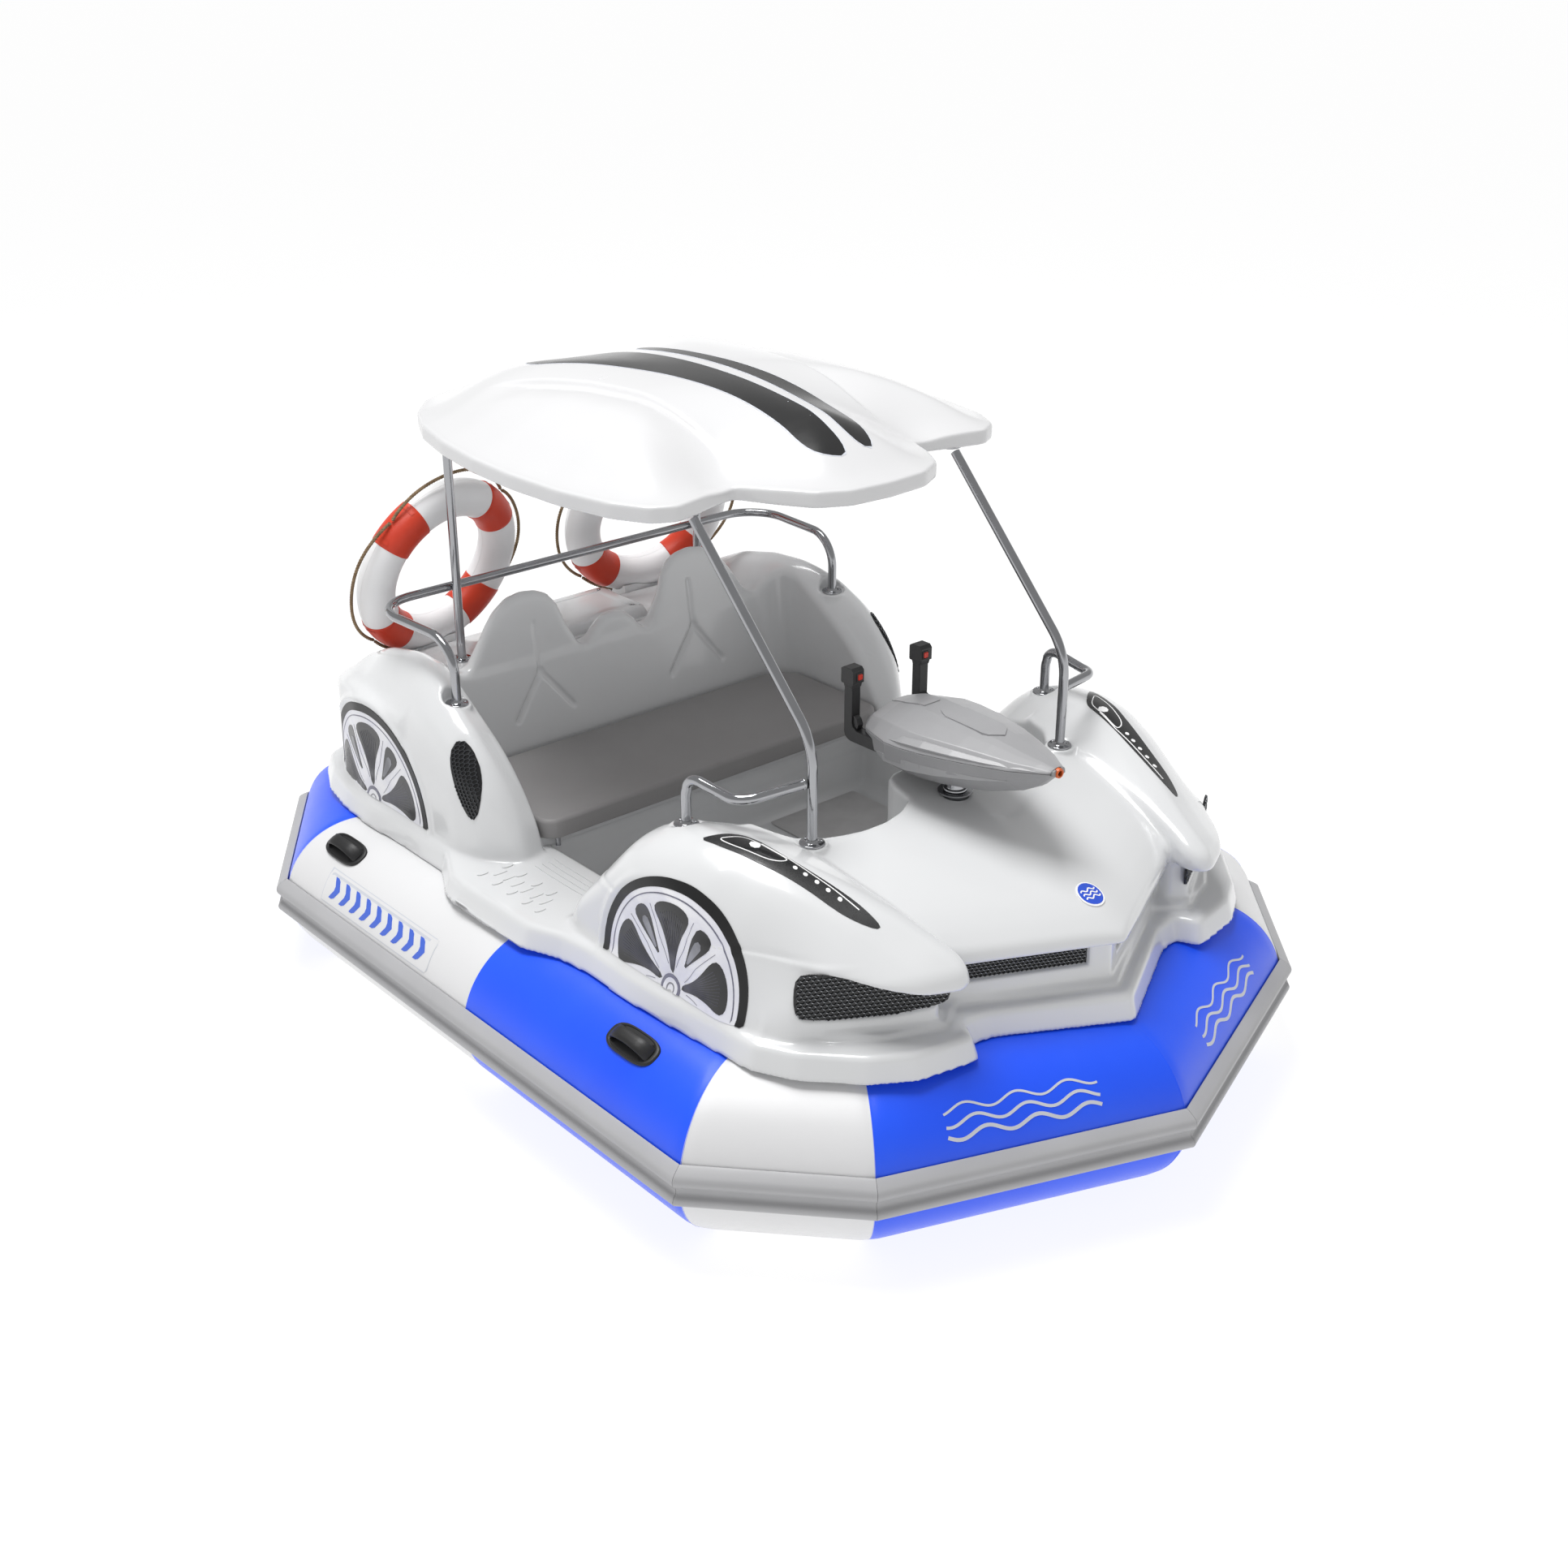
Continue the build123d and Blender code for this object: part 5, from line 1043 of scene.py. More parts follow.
# plain marks where the lettering was: chevrons in a framed patch on the sides, waves at the bow
bag = Bag()
for i in (2, 6):
    L = np.linalg.norm(CENT[(i + 1) % NC] - CENT[i])
    yref = CENT[i][1]
    sg = 1 if i == 2 else -1
    s0 = abs(500 - yref)
    m = on_collar(i)
    hw, c0 = 270, 118
    sheet(bag, np.array([(s0 - hw, c0 - 48), (s0 + hw, c0 - 48), (s0 + hw, c0 + 48), (s0 - hw, c0 + 48)], float), 24, m, 0.7, 1)
    sheet(bag, np.array([(s0 - hw + 2.5, c0 - 45.5), (s0 + hw - 2.5, c0 - 45.5), (s0 + hw - 2.5, c0 + 45.5), (s0 - hw + 2.5, c0 + 45.5)], float), 24, m, 1.0, 2)
    for k in range(-4, 5):
        c = s0 + k * 54
        sheet(bag, np.array([(c - 20, c0 - 30), (c + 2, c0 - 30), (c + 22, c0), (c + 2, c0 + 30), (c - 20, c0 + 30), (c, c0)], float), 14, m, 1.5, 0)
bag.make("side_marks", ["markb", "mark", "pvc_white"], "hull", None, angle=40)
bag = Bag()
for i in (0, 8):
    L = np.linalg.norm(CENT[(i + 1) % NC] - CENT[i])
    m = on_collar(i)
    for row in range(3):
        xs_ = np.linspace(L / 2 - 190, L / 2 + 190, 60)
        w = np.stack([xs_, 112 + row * 30 + 10 * np.sin((xs_ - L / 2) / 380 * math.pi * 6 + row)], 1)
        for a, b in zip(w[:-1], w[1:]):
            bars(bag, [(a, b + (b - a) * 0.15)], 8.5 - row * 1.5, m, 0.9, 0)
bag.make("bow_marks", ["mark"], "hull", None, angle=40)

# carry handles
HT = math.radians(30.0)
bag_p, bag_g = Bag(), Bag()
for s in (-1, 1):
    for yc in (-527, 777):
        nx, nz = s * math.sin(HT), math.cos(HT)
        c = np.array([s * 804 + nx * 214, yc, 214 + nz * 214])
        nrm, uy = np.array([nx, 0, nz]), np.array([0, 1.0, 0])
        tx = np.cross(uy, nrm)
        a = np.linspace(0, 2 * math.pi, 64, endpoint=False)
        ox, oy = 84 * np.sign(np.cos(a)) * np.abs(np.cos(a)) ** 0.62, 38 * np.sign(np.sin(a)) * np.abs(np.sin(a)) ** 0.75
        rings = [(1.02, 0.2), (1.0, 3.4), (0.97, 5.0), (0.90, 5.6), (0.86, 5.0), (0.84, 3.6), (0.60, 3.4), (0.2, 3.6)]
        v = np.concatenate([c + nrm * h + (ox * q)[:, None] * uy + (oy * q)[:, None] * tx for q, h in rings])
        f = grid_faces(len(rings), 64, close_v=True) + [tuple(range((len(rings) - 1) * 64, len(rings) * 64))]
        if np.cross(v[64] - v[0], v[1] - v[0]) @ nrm > 1e9:
            f = [tuple(reversed(q)) for q in f]
        bag_p.add(v * MM, f)
        path = chaikin([(-66, 3.2), (-60, 14), (-44, 26), (-24, 30), (24, 30), (44, 26), (60, 14), (66, 3.2)], 2, closed=False)
        rings = []
        for j, (uu_, hh_) in enumerate(path):
            dv_ = np.gradient(path, axis=0)[j]
            dv_ = dv_ / np.linalg.norm(dv_)
            n2 = np.array([-dv_[1], dv_[0]])
            w = 15.5 + 3.0 * abs(uu_) / 66.0
            sec = [(-w, -2.5), (-w, 1.5), (-w + 2.5, 3.6), (-4, 4.4), (4, 4.4), (w - 2.5, 3.6), (w, 1.5), (w, -2.5), (w - 2, -4), (-w + 2, -4)]
            rings.append(np.array([c + uy * (uu_ + n2[0] * hq) + nrm * (hh_ + n2[1] * hq) + tx * wq for wq, hq in sec]))
        v = np.concatenate(rings)
        n = len(sec)
        f = grid_faces(len(rings), n, close_v=True) + [tuple(range(n - 1, -1, -1)), tuple((len(rings) - 1) * n + k for k in range(n))]
        bag_g.add(v * MM, f)
o = bag_p.make("handle_bases", ["rubber"], "hull", "black_rubber", ("handle_patches",), angle=50)
o = bag_g.make("handle_straps", ["rubber"], "hull", "black_rubber", ("handle_grips",), angle=40)
# ---- END COLLAR

# ------------------------------------------------------------------ stainless pipework
def pipe_set(name, runs, nodes, r=12.5, body="hull"):
    bag = Bag()
    for pts in runs:
        v, f = tube(pts, r, 32)
        bag.add(v * MM, f)
    return bag.make(name, ["steel"], body, "stainless", nodes, angle=50)


def mir(p):
    q = np.array(p, float)
    q[:, 0] *= -1
    return q


def dens(path, step=26):
    return resample(path, step)


FP = fillet_path([(429, -601, 742), (429, -601, 1041), (433, -183.5, 1475)], 170, 20)
pipe_set("front_canopy_posts", [FP, mir(FP)], ("front_posts",))
RPST = np.array([(430, 896, 742), (430, 896, 1485)], float)
pipe_set("rear_canopy_posts", [RPST, mir(RPST)], ("rear_posts",))
RAILP = fillet_path([(-669, 542, 802), (-669, 542, 1014), (-690, 921.5, 1014), (690, 921.5, 1014), (669, 542, 1014), (669, 542, 802)], (95, 120, 120, 95), 20)
pipe_set("rear_grab_bar", [RAILP], ("rear_grab_rail",))
LP = fillet_path([(620, -371, 782), (620, -371, 940), (600, -556, 937), (443.5, -590, 940)], (55, 60), 16)
q = np.clip((LP[:, 1] + 590) / 219.0, 0, 1)
LP[:, 2] += np.where(LP[:, 2] > 900, -13 * np.sin(q * math.pi) + 8 * np.sin(q * math.pi * 0.5) ** 4 * (q < 0.98), 0)
pipe_set("front_grab_loops", [LP, mir(LP)], ("front_loops",))
# weld beads where the loops meet the posts
bag = Bag()
for s in (-1, 1):
    dv_ = np.array([s * (443.5 - 600), -590 + 556, 3.0])
    dv_ /= np.linalg.norm(dv_)
    v, f = lathe([(12.4, -3.5), (14.0, -2.6), (14.8, -0.5), (14.2, 1.8), (12.6, 3.0)], np.array([s * 443.5, -590, 940]) + dv_ * -2.5, dv_, 32)
    bag.add(v * MM, f)
bag.make("loop_welds", ["steel"], "hull", "stainless", angle=60)

bag, sb = Bag(), Bag()
FEET = [(429, -601, 786.2), (620, -371, 812.2), (669, 542, 842.2), (430, 896, 800.5)]
for (x, y, z) in FEET:
    for s in (-1, 1):
        v, f = lathe([(12.7, 0), (31, 0), (31, 2.6), (30, 3.8), (28.4, 4.2), (19, 4.4), (16.2, 5.2), (14.6, 7.4), (13.6, 10.5), (12.7, 11.6)], (s * x, y, z), (0, 0, 1), 48)
        bag.add(v * MM, f[:-2])
        for k in range(3):
            a = math.radians(90 + 120 * k)
            c = (s * x + 22.5 * math.cos(a), y + 22.5 * math.sin(a), z + 4.2)
            v, f = lathe([(4.6, 0), (4.6, 0.9), (3.8, 1.9), (2.2, 2.5), (1.6, 2.5), (1.5, 1.2), (0.001, 1.2)], c, (0, 0, 1), 20)
            sb.add(v * MM, f)
for (x, y) in ((433, -163), (430, 896)):
    for s in (-1, 1):
        v, f = lathe([(0.01, 0.0), (30, 0), (31, 1.0), (31, 3.2), (30, 4.2), (0.01, 4.2)], (s * x, y, 1485.4), (0, 0, 1), 48)
        bag.add(v * MM, f)
bag.make("post_flanges", ["steel"], "hull", "stainless", ("pipe_flanges",), angle=40)
sb.make("flange_screw_heads", ["steel"], "hull", "stainless", ("flange_screws",), angle=40)

# ------------------------------------------------------------------ life rings
ra, re_ = math.radians(8.3), math.radians(18.5)
rings_w, bands_b, ropes_b = {}, Bag(), Bag()
ALONG = np.linspace(0, 2 * math.pi, 144, endpoint=False)
for s, nm, node in ((-1, "life_ring_foam_stbd", "life_ring_stbd"), (1, "life_ring_foam_port", "life_ring_port")):
    n = np.array([s * math.sin(ra) * math.cos(re_), math.cos(ra) * math.cos(re_), math.sin(re_)])
    c = np.array([s * 377.0, 1079.0, 1023.0])
    xd = np.cross([0, 0, 1.0], n)
    xd /= np.linalg.norm(xd)
    yd = np.cross(n, xd)
    phi = np.linspace(0, 2 * math.pi, 56, endpoint=False)

    def torus(al, R, r, squash=0.97):
        e = np.cos(al)[:, None] * xd + np.sin(al)[:, None] * yd
        return np.concatenate([c + e[i] * R + r * (np.cos(phi)[:, None] * e[i] + squash * np.sin(phi)[:, None] * n) for i in range(len(al))])
    bag = Bag()
    v = torus(ALONG, 221, 54.6)
    bag.add(v * MM, grid_faces(len(ALONG), 56, close_u=True, close_v=True))
    # moulding seam round the outside and the inside
    for R0 in (221 + 54.4, 221 - 54.4):
        pts = np.array([c + (math.cos(a) * xd + math.sin(a) * yd) * R0 for a in np.linspace(0, 2 * math.pi, 120)])
        v, f = tube(pts, 0.9, 6, caps=False)
        bag.add(v * MM, f)
    bag.make(nm, ["ringw"], "hull", "ring_white", (node,))
    for bc in (45, 135, 225, 315):
        al = np.radians(np.concatenate([[bc - 15], np.linspace(bc - 14.6, bc + 14.6, 15), [bc + 15]]))
        rr = np.array([54.8] + [56.6] * 15 + [54.8])
        e = np.cos(al)[:, None] * xd + np.sin(al)[:, None] * yd
        v = np.concatenate([c + e[i] * 221 + rr[i] * (np.cos(phi)[:, None] * e[i] + 0.97 * np.sin(phi)[:, None] * n) for i in range(len(al))])
        bands_b.add(v * MM, grid_faces(len(al), 56, close_v=True))
        # strap end lapped over the band
        for off in (-11.5, 11.5):
            al2 = np.radians([bc + off - 1.2, bc + off + 1.2])
            e2 = np.cos(al2)[:, None] * xd + np.sin(al2)[:, None] * yd
            ph = np.linspace(-0.5, 0.5, 8)
            v = np.concatenate([c + e2[i] * 221 + 58.2 * (np.cos(ph)[:, None] * e2[i] + 0.97 * np.sin(ph)[:, None] * n) for i in range(2)])
            bands_b.add(v * MM, grid_faces(2, 8))
        sag = 9 if bc == 225 else 34
        A = np.radians(np.linspace(bc + 1.0, bc + 89.0, 60))
        tt = np.linspace(0, 1, 60)
        rad = 221 + 58 + 5 + (sag - 9) * np.sin(tt * math.pi) ** 0.8 * (1 + 0.12 * np.sin(tt * 9 + bc))
        sway = 5 * np.sin(tt * math.pi) * math.sin(bc * 1.7 + s)
        mid = np.array([c + (math.cos(a) * xd + math.sin(a) * yd) * q + n * w for a, q, w in zip(A, rad, sway)])
        # three twisted strands
        T = np.gradient(mid, axis=0)
        T /= np.linalg.norm(T, axis=1)[:, None]
        fine = resample(mid, 4.0)
        T = np.gradient(fine, axis=0)
        T /= np.linalg.norm(T, axis=1)[:, None]
        B = np.cross(T, n)
        B /= np.linalg.norm(B, axis=1)[:, None]
        C2 = np.cross(T, B)
        s_len = np.arange(len(fine)) * 4.0
        for k in range(3):
            w = s_len / 26.0 * 2 * math.pi + k * 2 * math.pi / 3
            st = fine + 2.5 * (np.cos(w)[:, None] * B + np.sin(w)[:, None] * C2)
            v, f = tube(st, 2.75, 8)
            ropes_b.add(v * MM, f)
bands_b.make("life_ring_bands", ["ringo"], "hull", "ring_orange", ("ring_bands",), angle=50)
ropes_b.make("life_ring_grab_ropes", ["rope"], "hull", "rope", ("ring_ropes",))

# ------------------------------------------------------------------ seat board
def soft_box(cxy, size, z0, z1, corner, edge, crown, nu=120, seam=None):
    hx, hy = size[0] / 2, size[1] / 2
    outl = []
    for sx, sy, a0 in ((1, 1, 0), (-1, 1, 90), (-1, -1, 180), (1, -1, 270)):
        r = corner[0] if sy < 0 else corner[1]
        for a in np.radians(np.linspace(a0, a0 + 90, 14)):
            outl.append((sx * (hx - r) + r * math.cos(a), sy * (hy - r) + r * math.sin(a)))
    outl = resample(np.array(outl + outl[:1]), 12)[:-1]
    P = outl
    e = np.roll(P, -1, 0) - np.roll(P, 1, 0)
    nrm = np.stack([e[:, 1], -e[:, 0]], 1) / np.linalg.norm(e, axis=1)[:, None]
    prof = [(edge * 0.35, 0), (edge * 0.1, 1.5), (0, 4.5)]
    hmid = (z1 - z0)
    for t in np.linspace(0.12, 1, 6)[:-1]:
        prof.append((-0.8 * math.sin(t * math.pi), 4.5 + t * (hmid - 4.5 - edge)))
    for a in np.radians(np.linspace(0, 90, 9)):
        prof.append((edge * (1 - math.cos(a)), hmid - edge + edge * math.sin(a)))
    rings = [np.column_stack([P - nrm * i, np.full(len(P), z0 + h)]) for i, h in prof]
    v = np.concatenate(rings)
    n = len(P)
    f = grid_faces(len(rings), n, close_v=True)
    last = rings[-1]
    for k, q in enumerate((0.97, 0.9, 0.75, 0.5, 0.25, 0.02)):
        ring = np.column_stack([last[:, 0] * q, last[:, 1] * q, np.full(n, z1 + crown * (1 - q ** 2))])
        v = np.concatenate([v, ring])
        m0 = (len(rings) + k - 1) * n
        f += [(m0 + j, m0 + (j + 1) % n, m0 + n + (j + 1) % n, m0 + n + j) for j in range(n)]
    f.append(tuple(range(len(v) - n, len(v))))
    f.append(tuple(range(n - 1, -1, -1)))
    v[:, 0] += cxy[0]
    v[:, 1] += cxy[1]
    return v, f


v, f = soft_box((0, 462), (1204, 430), 520, 575.0, (46, 96), 13, 2.8)
add_mesh("seat_board", v * MM, f, "seat", "seat_lid", "seat_grey", ("seat_cushion",), angle=60)

# floor mats with a pressed grain and a rolled edge
bag = Bag()
for s in (-1, 1):
    v, f = soft_box((s * 354, 67.5), (330, 420), 310.2, 315.6, (14, 14), 1.6, 0.4)
    bag.add(v * MM, f)
bag.make("footwell_mats", ["mat"], "hull", "mat_rubber", ("floor_mats",), angle=50)

# ------------------------------------------------------------------ rear hatch
hz_ = [(0, 798), (0.0, 806), (10, 824), (15, 829.5), (21, 831.6), (40, 832)]
outl = []
for sx, sy, a0 in ((1, 1, 0), (-1, 1, 90), (-1, -1, 180), (1, -1, 270)):
    for a in np.radians(np.linspace(a0, a0 + 90, 8)):
        outl.append((sx * (200 - 30) + 30 * math.cos(a), 955 + sy * (125 - 30) + 30 * math.sin(a)))
outl = resample(np.array(outl + outl[:1]), 14)[:-1]
e = np.roll(outl, -1, 0) - np.roll(outl, 1, 0)
nrm = np.stack([e[:, 1], -e[:, 0]], 1) / np.linalg.norm(e, axis=1)[:, None]
rings = [np.column_stack([outl - nrm * i, np.full(len(outl), z)]) for i, z in hz_]
inner = rings[-1]
rings += [np.column_stack([(inner[:, :2] - [0, 955]) * q + [0, 955], np.full(len(outl), 832 - dz)]) for q, dz in ((0.93, 0), (0.91, 2.2), (0.88, 2.6), (0.5, 2.2), (0.05, 2.0))]
v = np.concatenate(rings)
n = len(outl)
f = grid_faces(len(rings), n, close_v=True) + [tuple(range(len(v) - n, len(v)))]
bag = Bag()
bag.add(v * MM, f)
for s in (-1, 1):
    for yy in (868, 1042):
        v, f = lathe([(5.5, 0), (5.5, 1.2), (4.6, 2.2), (2.4, 2.8), (0.01, 2.8)], (s * 158, yy, 831.6), (0, 0, 1), 20)
        bag.add(v * MM, f, 1)
bag.make("drive_hatch", ["frp_white", "steel"], "hull", "frp_white", ("motor_hatch",), angle=35)

# ------------------------------------------------------------------ steering console
def loft(sections):
    v = np.concatenate([np.asarray(q, float) for q in sections])
    n = len(sections[0])
    return v, grid_faces(len(sections), n, close_v=True) + [tuple(range(n - 1, -1, -1)), tuple((len(sections) - 1) * n + k for k in range(n))]


ST = [(-966, 22), (-957, 30), (-930, 46), (-880, 77), (-806, 105), (-740, 127), (-660, 147), (-602, 155), (-548, 153), (-486, 132), (-440, 112), (-412, 84), (-396, 62)]
ZK = [(-966, 958), (-957, 949), (-927, 919), (-880, 894), (-806, 867), (-740, 852), (-637, 835), (-560, 828), (-486, 824), (-440, 841), (-412, 868), (-396, 901)]
ZT = [(-966, 977), (-930, 984), (-880, 991), (-806, 1002), (-746, 1007), (-640, 1009.5), (-541, 1010), (-486, 1000), (-440, 984), (-412, 962), (-396, 941)]
ZS = [(-966, 966), (-880, 961), (-740, 955), (-602, 948), (-486, 941), (-396, 930)]
lo_s, up_s = [], []
for y, w in ST:
    zk, zt, zs = curve(y, ZK), curve(y, ZT), curve(y, ZS)
    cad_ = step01(y, -966, -900)
    half_lo = [(w, zs), (w * 0.97, zs - 0.36 * (zs - zk)), (w * 0.46, zk + 0.10 * (zs - zk)), (w * 0.18, zk)]
    lo_s.append([(x, y, z) for x, z in half_lo] + [(-x, y, z) for x, z in reversed(half_lo)])
    half_up = [(w, zs + 0.4), (w * 0.985, zs + 5), (w * 0.80, zs + 0.60 * (zt - zs)), (w * 0.47, zs + 0.86 * (zt - zs)), (w * 0.26, zt)]
    up_s.append([(x, y, z) for x, z in half_up] + [(-x, y, z) for x, z in reversed(half_up)])
# the lower shell takes the darker painted-shade copy of the console grey
v, f = loft(lo_s)
o = add_mesh("console_lower", v * MM, f, "console_lo", "console", "console_grey", ("pod_lower_shell",), smooth=False)
bevel(o, 0.0022, 3, 9)
v, f = loft(up_s)
o = add_mesh("console_upper", v * MM, f, "console", "console", "console_grey", ("pod_upper_shell",), smooth=False)
bevel(o, 0.0022, 3, 9)
# raised side blades, top plate and rear lugs
bag = Bag()
for s in (-1, 1):
    secs = []
    for y, hgt, dep in ((-955, 1, 1.0), (-900, 6, 3.0), (-820, 11, 5.0), (-740, 16, 7.0), (-660, 20, 8.0), (-600, 17, 7.0), (-560, 6, 2.0)):
        w = np.interp(y, [q[0] for q in ST], [q[1] for q in ST])
        zt, zs = curve(y, ZT), curve(y, ZS)
        z0 = zs + 0.10 * (zt - zs) + 2
        x0, x1 = w * 0.95, w * 0.86
        secs.append([(s * (x0 - 8), y, z0 - 3), (s * (x0 + 1.0), y, z0), (s * (x0 + dep * 0.7), y, z0 + hgt * 0.42), (s * (x1 + dep * 0.5), y, z0 + hgt), (s * (x1 - 10), y, z0 + hgt * 0.9)])
    v, f = loft(secs)
    bag.add(v * MM, f if s < 0 else [tuple(reversed(q)) for q in f])
    secs = []
    for y, hgt, dep in ((-880, 2, 1.0), (-800, 12, 3.5), (-700, 24, 6.0), (-620, 30, 7.5), (-540, 24, 6.0), (-500, 6, 1.0)):
        w = np.interp(y, [q[0] for q in ST], [q[1] for q in ST])
        zk, zs = curve(y, ZK), curve(y, ZS)
        zc = zs - 0.30 * (zs - zk) - 6
        secs.append([(s * (w * 0.9 - 4), y, zc - hgt / 2), (s * (w * 0.955 + dep * 0.5), y, zc - hgt * 0.42), (s * (w * 0.975 + dep * 0.4), y, zc + hgt * 0.42), (s * (w * 0.93 - 4), y, zc + hgt / 2)])
    v, f = loft(secs)
    bag.add(v * MM, f if s < 0 else [tuple(reversed(q)) for q in f])
hexa = np.array([(0, -800), (38, -772), (38, -640), (22, -606), (-22, -606), (-38, -640), (-38, -772)], float)


def pod_top(v):
    z = np.array([curve(y, ZT) for y in v[:, 1]])
    return np.stack([v[:, 0], v[:, 1], z], 1), np.tile([0, 0, 1.0], (len(v), 1))


sheet(bag, hexa, 20, pod_top, 3.0, 0)
sheet(bag, np.array([(-30, -560), (30, -560), (40, -500), (24, -440), (-24, -440), (-40, -500)], float), 18, pod_top, 2.4, 0)
o = bag.make("console_trim", ["console"], "console", "console_grey", smooth=False)
bevel(o, 0.0012, 2, 20)
# nose mouth: two lips round the nozzle, dark from the painted-shade copy of the console grey
bag = Bag()
for s in (-1, 1):
    v, f = loft([[(s * 9, -950, 958), (s * 24, -950, 962), (s * 22, -950, 975), (s * 8, -950, 978)],
                 [(s * 10, -972, 961), (s * 20, -972, 963), (s * 18, -972, 973), (s * 10, -972, 976)]])
    bag.add(v * MM, f if s > 0 else [tuple(reversed(q)) for q in f])
o = bag.make("console_nose_prongs", ["console_lo"], "console", "console_grey", smooth=False)
bevel(o, 0.001, 2, 20)
v1, f1 = lathe([(7.0, 2.0), (7.0, 9.2), (8.5, 10.0), (11.2, 9.6), (12.0, 8.0), (12.0, 0.0), (0.01, 0.0)], (0, -966.3, 966), (0, -1, 0), 32)
v2, f2 = lathe([(0.01, 3.0), (6.9, 3.0), (6.9, 2.0)], (0, -966.3, 966), (0, -1, 0), 32)
bag = Bag()
bag.add(v1 * MM, f1)
bag.add(v2 * MM, f2, 1)
bag.make("nozzle_insert", ["orange", "blackm"], "console", "nozzle_orange" if any(q.get("slot") == "nozzle_orange" for q in frame["record"].get("materials", [])) else "button_red", ("nose_nozzle",), angle=35)

v, f = lathe([(18.5, 600), (22, 600), (22, 809.7), (29, 809.9), (30, 811), (30, 814.5), (29, 815.7), (22.6, 816.2), (22, 818), (22, 862), (18.5, 862)], (0, -645, 0), (0, 0, 1), 56)
add_mesh("console_column_tube", v * MM, f, "steel", "console", "stainless", ("console_column",), angle=40)
v, f = lathe([(22.1, 690), (34, 690), (34, 803.9), (34.2, 804.2), (43.2, 804.2), (44, 805), (44, 808), (43, 809.1), (26, 809.2), (22.1, 809.2)], (0, -645, 0), (0, 0, 1), 56)
add_mesh("column_bush", v * MM, f, "steel", "hull", "stainless", ("column_bearing",), angle=40)

# L levers, their switch boxes and the buttons
bag = Bag()
for s in (-1, 1):
    def slab(outline, hw, taper=0.0):
        P = np.asarray(outline, float)
        a = np.column_stack([np.full(len(P), s * 116 - hw), P])
        b = np.column_stack([np.full(len(P), s * 116 + hw), P])
        v = np.concatenate([a, b])
        n = len(P)
        f = [(i, (i + 1) % n, (i + 1) % n + n, i + n) for i in range(n)] + [tuple(range(n - 1, -1, -1)), tuple(range(n, 2 * n))]
        return v, f
    v, f = slab([(-545, 897), (-470, 895.5), (-406, 895), (-394, 898), (-385, 906), (-382, 916), (-382, 1040), (-410, 1040), (-410, 944), (-414, 934), (-424, 927), (-545, 926)], 14)
    bag.add(v * MM, f)
    v, f = slab([(-376, 1044), (-374, 1048), (-374, 1082), (-382, 1087.5), (-410, 1087.5), (-417.6, 1080), (-417.6, 1048), (-411, 1044)], 18.6)
    bag.add(v * MM, f)
    v, f = slab([(-384, 1034), (-380, 1046), (-414, 1046), (-410, 1034)], 16)
    bag.add(v * MM, f)
    v, f = slab([(-424, 930), (-408, 934), (-404, 956), (-410, 962), (-421, 956), (-428, 942)], 9)
    bag.add(v * MM, f)
    # square bezel round the button
    for (x0, x1, z0, z1) in ((-10.6, -8.2, -10.6, 10.6), (8.2, 10.6, -10.6, 10.6), (-8.2, 8.2, 8.2, 10.6), (-8.2, 8.2, -10.6, -8.2)):
        c = np.array([s * 112, 0, 1064.0])
        bxs = np.array([(x, y, z) for x in (x0, x1) for y in (-420.2, -416) for z in (z0, z1)], float)
        bxs[:, 0] += c[0]
        bxs[:, 2] += c[2]
        bag.add(bxs * MM, [(0, 1, 3, 2), (4, 6, 7, 5), (0, 4, 5, 1), (2, 3, 7, 6), (0, 2, 6, 4), (1, 5, 7, 3)])
o = bag.make("control_levers", ["blackp"], "console", "black_plastic", ("levers",), smooth=False)
bevel(o, 0.0024, 3, 25)
for s, nm, node in ((-1, "push_button_stbd", "button_stbd"), (1, "push_button_port", "button_port")):
    rings = []
    for inset_, y in ((0.2, -412.0), (0.2, -419.4), (0.7, -420.6), (1.8, -421.0), (5.0, -420.4)):
        h_ = 7.6 - inset_
        a = np.linspace(0, 2 * math.pi, 32, endpoint=False)
        cx_, cz_ = np.sign(np.cos(a)) * np.abs(np.cos(a)) ** 0.35 * h_, np.sign(np.sin(a)) * np.abs(np.sin(a)) ** 0.35 * h_
        rings.append(np.column_stack([s * 112 + cx_, np.full(32, y), 1064 + cz_]))
    v, f = loft(rings)
    add_mesh(nm, v * MM, [tuple(reversed(q)) for q in f], "red", nm.replace("push_", "").replace("button_", "button_"), "button_red", (node,), angle=35)

# ------------------------------------------------------------------ CAD nodes kept as they are get their finish
KEEP = {"hull_pan": "hull", "drain_plug": "blackp", "seat_riser": "frp_white", "ring_cradles": "frp_white", "air_valves": "rubber", "charge_socket": "blackp",
        "thruster_bracket": "alu", "battery_packs": "blackp", "motor_controller": "alu", "seat_pegs": "steel", "thruster_leg": "steel",
        "thruster_motor": "blackmetal", "skeg": "blackmetal", "propeller": "blackp"}
for n_, o in NODES.items():
    o.data.materials.clear()
    o.data.materials.append(M[KEEP.get(n_, "frp_white")])
    if not o.hide_render:
        o.data.polygons.foreach_set("use_smooth", np.full(len(o.data.polygons), True))
        o.data.set_sharp_from_angle(angle=math.radians(32))
print("left as CAD:", sorted(n_ for n_, o in NODES.items() if not o.hide_render))

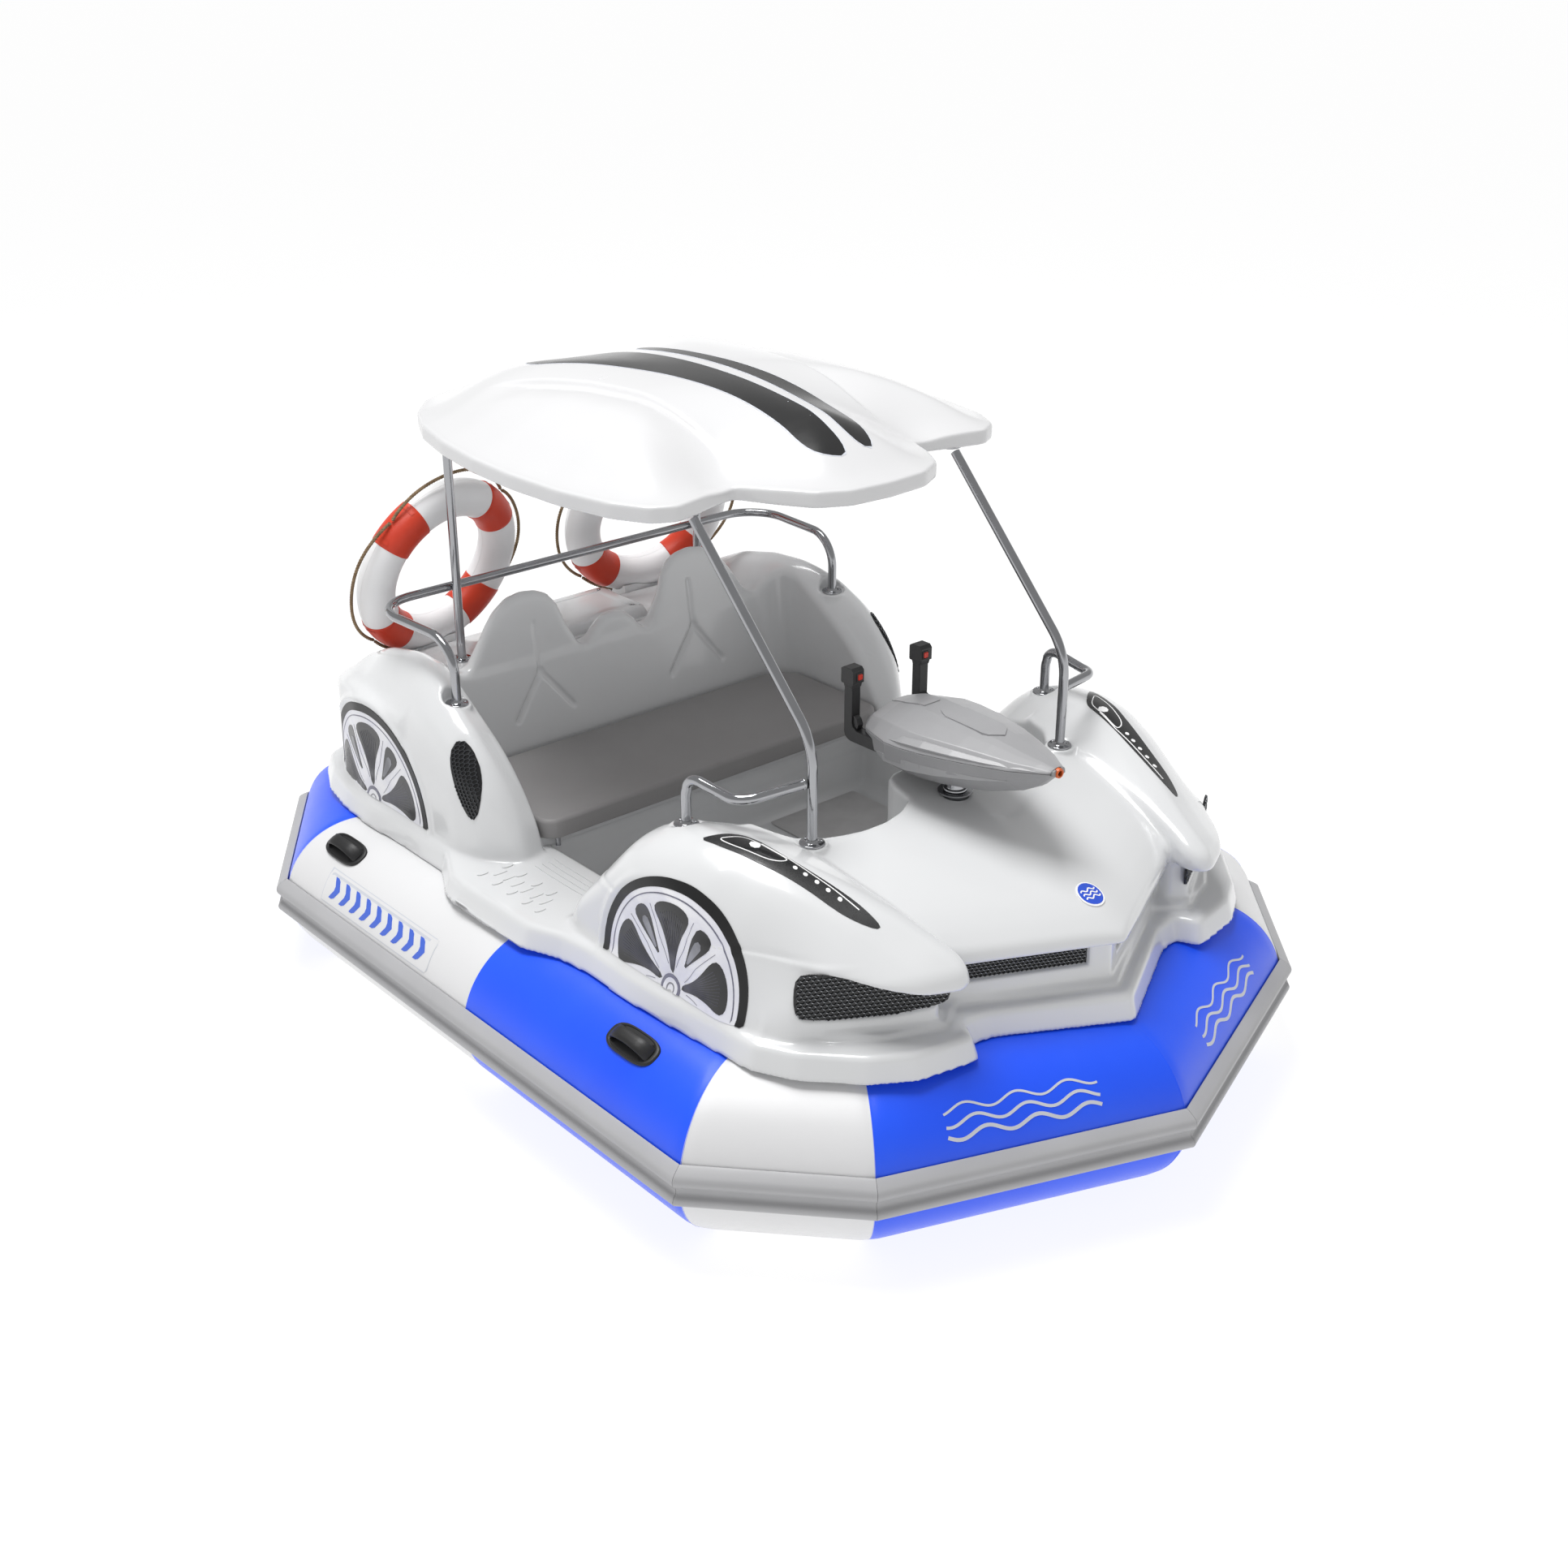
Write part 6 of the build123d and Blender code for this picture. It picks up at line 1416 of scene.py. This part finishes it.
# ------------------------------------------------------------------ floor, light and camera
def area(name, loc, target, size, power, size_y=None, colour=(1, 1, 1)):
    L = bpy.data.lights.new(name, "AREA")
    L.shape = "RECTANGLE"
    L.size, L.size_y = size, size_y or size
    L.energy = power
    L.color = colour
    o = bpy.data.objects.new(name, L)
    bpy.context.scene.collection.objects.link(o)
    o.location = loc
    o.rotation_mode = "QUATERNION"
    o.rotation_quaternion = (Vector(target) - Vector(loc)).to_track_quat("-Z", "Y")
    return o


fl = bpy.data.meshes.new("floor")
R_ = 90.0
fl.from_pydata([(-R_, -R_, -0.002), (R_, -R_, -0.002), (R_, R_, -0.002), (-R_, R_, -0.002)], [], [(0, 1, 2, 3)])
fo = bpy.data.objects.new("floor", fl)
bpy.context.scene.collection.objects.link(fo)
M["floor"] = material("studio_floor", (124, 124, 124), 0.9, vary=0.004, scale=0.6, spec=0.1)
fl.materials.append(M["floor"])
fb_ = M["floor"].node_tree.nodes["Principled BSDF"]
fb_.inputs["Emission Color"].default_value = (1, 1, 1, 1)
fb_.inputs["Emission Strength"].default_value = 0.88
area("overhead", (-0.9, 1.0, 7.4), (0, 0, 0.5), 3.6, 470, 3.6)
w = bpy.data.worlds.new("studio")
bpy.context.scene.world = w
w.use_nodes = True
bg = w.node_tree.nodes["Background"]
bg.inputs[0].default_value = (1, 1, 1, 1)
bg.inputs[1].default_value = 0.44
wt = w.node_tree
tc = wt.nodes.new("ShaderNodeTexCoord")
sx = wt.nodes.new("ShaderNodeSeparateXYZ")
rp = wt.nodes.new("ShaderNodeMapRange")
rp.inputs["From Min"].default_value = 0.05
rp.inputs["From Max"].default_value = 0.22
rp.inputs["To Min"].default_value = 1.0
rp.inputs["To Max"].default_value = 0.44
wt.links.new(tc.outputs["Generated"], sx.inputs[0])
wt.links.new(sx.outputs["Z"], rp.inputs["Value"])
wt.links.new(rp.outputs["Result"], bg.inputs[1])
bpy.context.scene.view_settings.view_transform = "Standard"

cam = bpy.data.cameras.new("camera")
cam.lens, cam.sensor_width = 45.92, 36.0
cam.clip_start, cam.clip_end = 0.05, 200
co_ = bpy.data.objects.new("camera", cam)
bpy.context.scene.collection.objects.link(co_)
co_.location = (-3.2107, -3.7084, 2.9004)
co_.rotation_mode = "QUATERNION"
co_.rotation_quaternion = Vector((0.5929, 0.6836, -0.4256)).to_track_quat("-Z", "Y")
bpy.context.scene.camera = co_
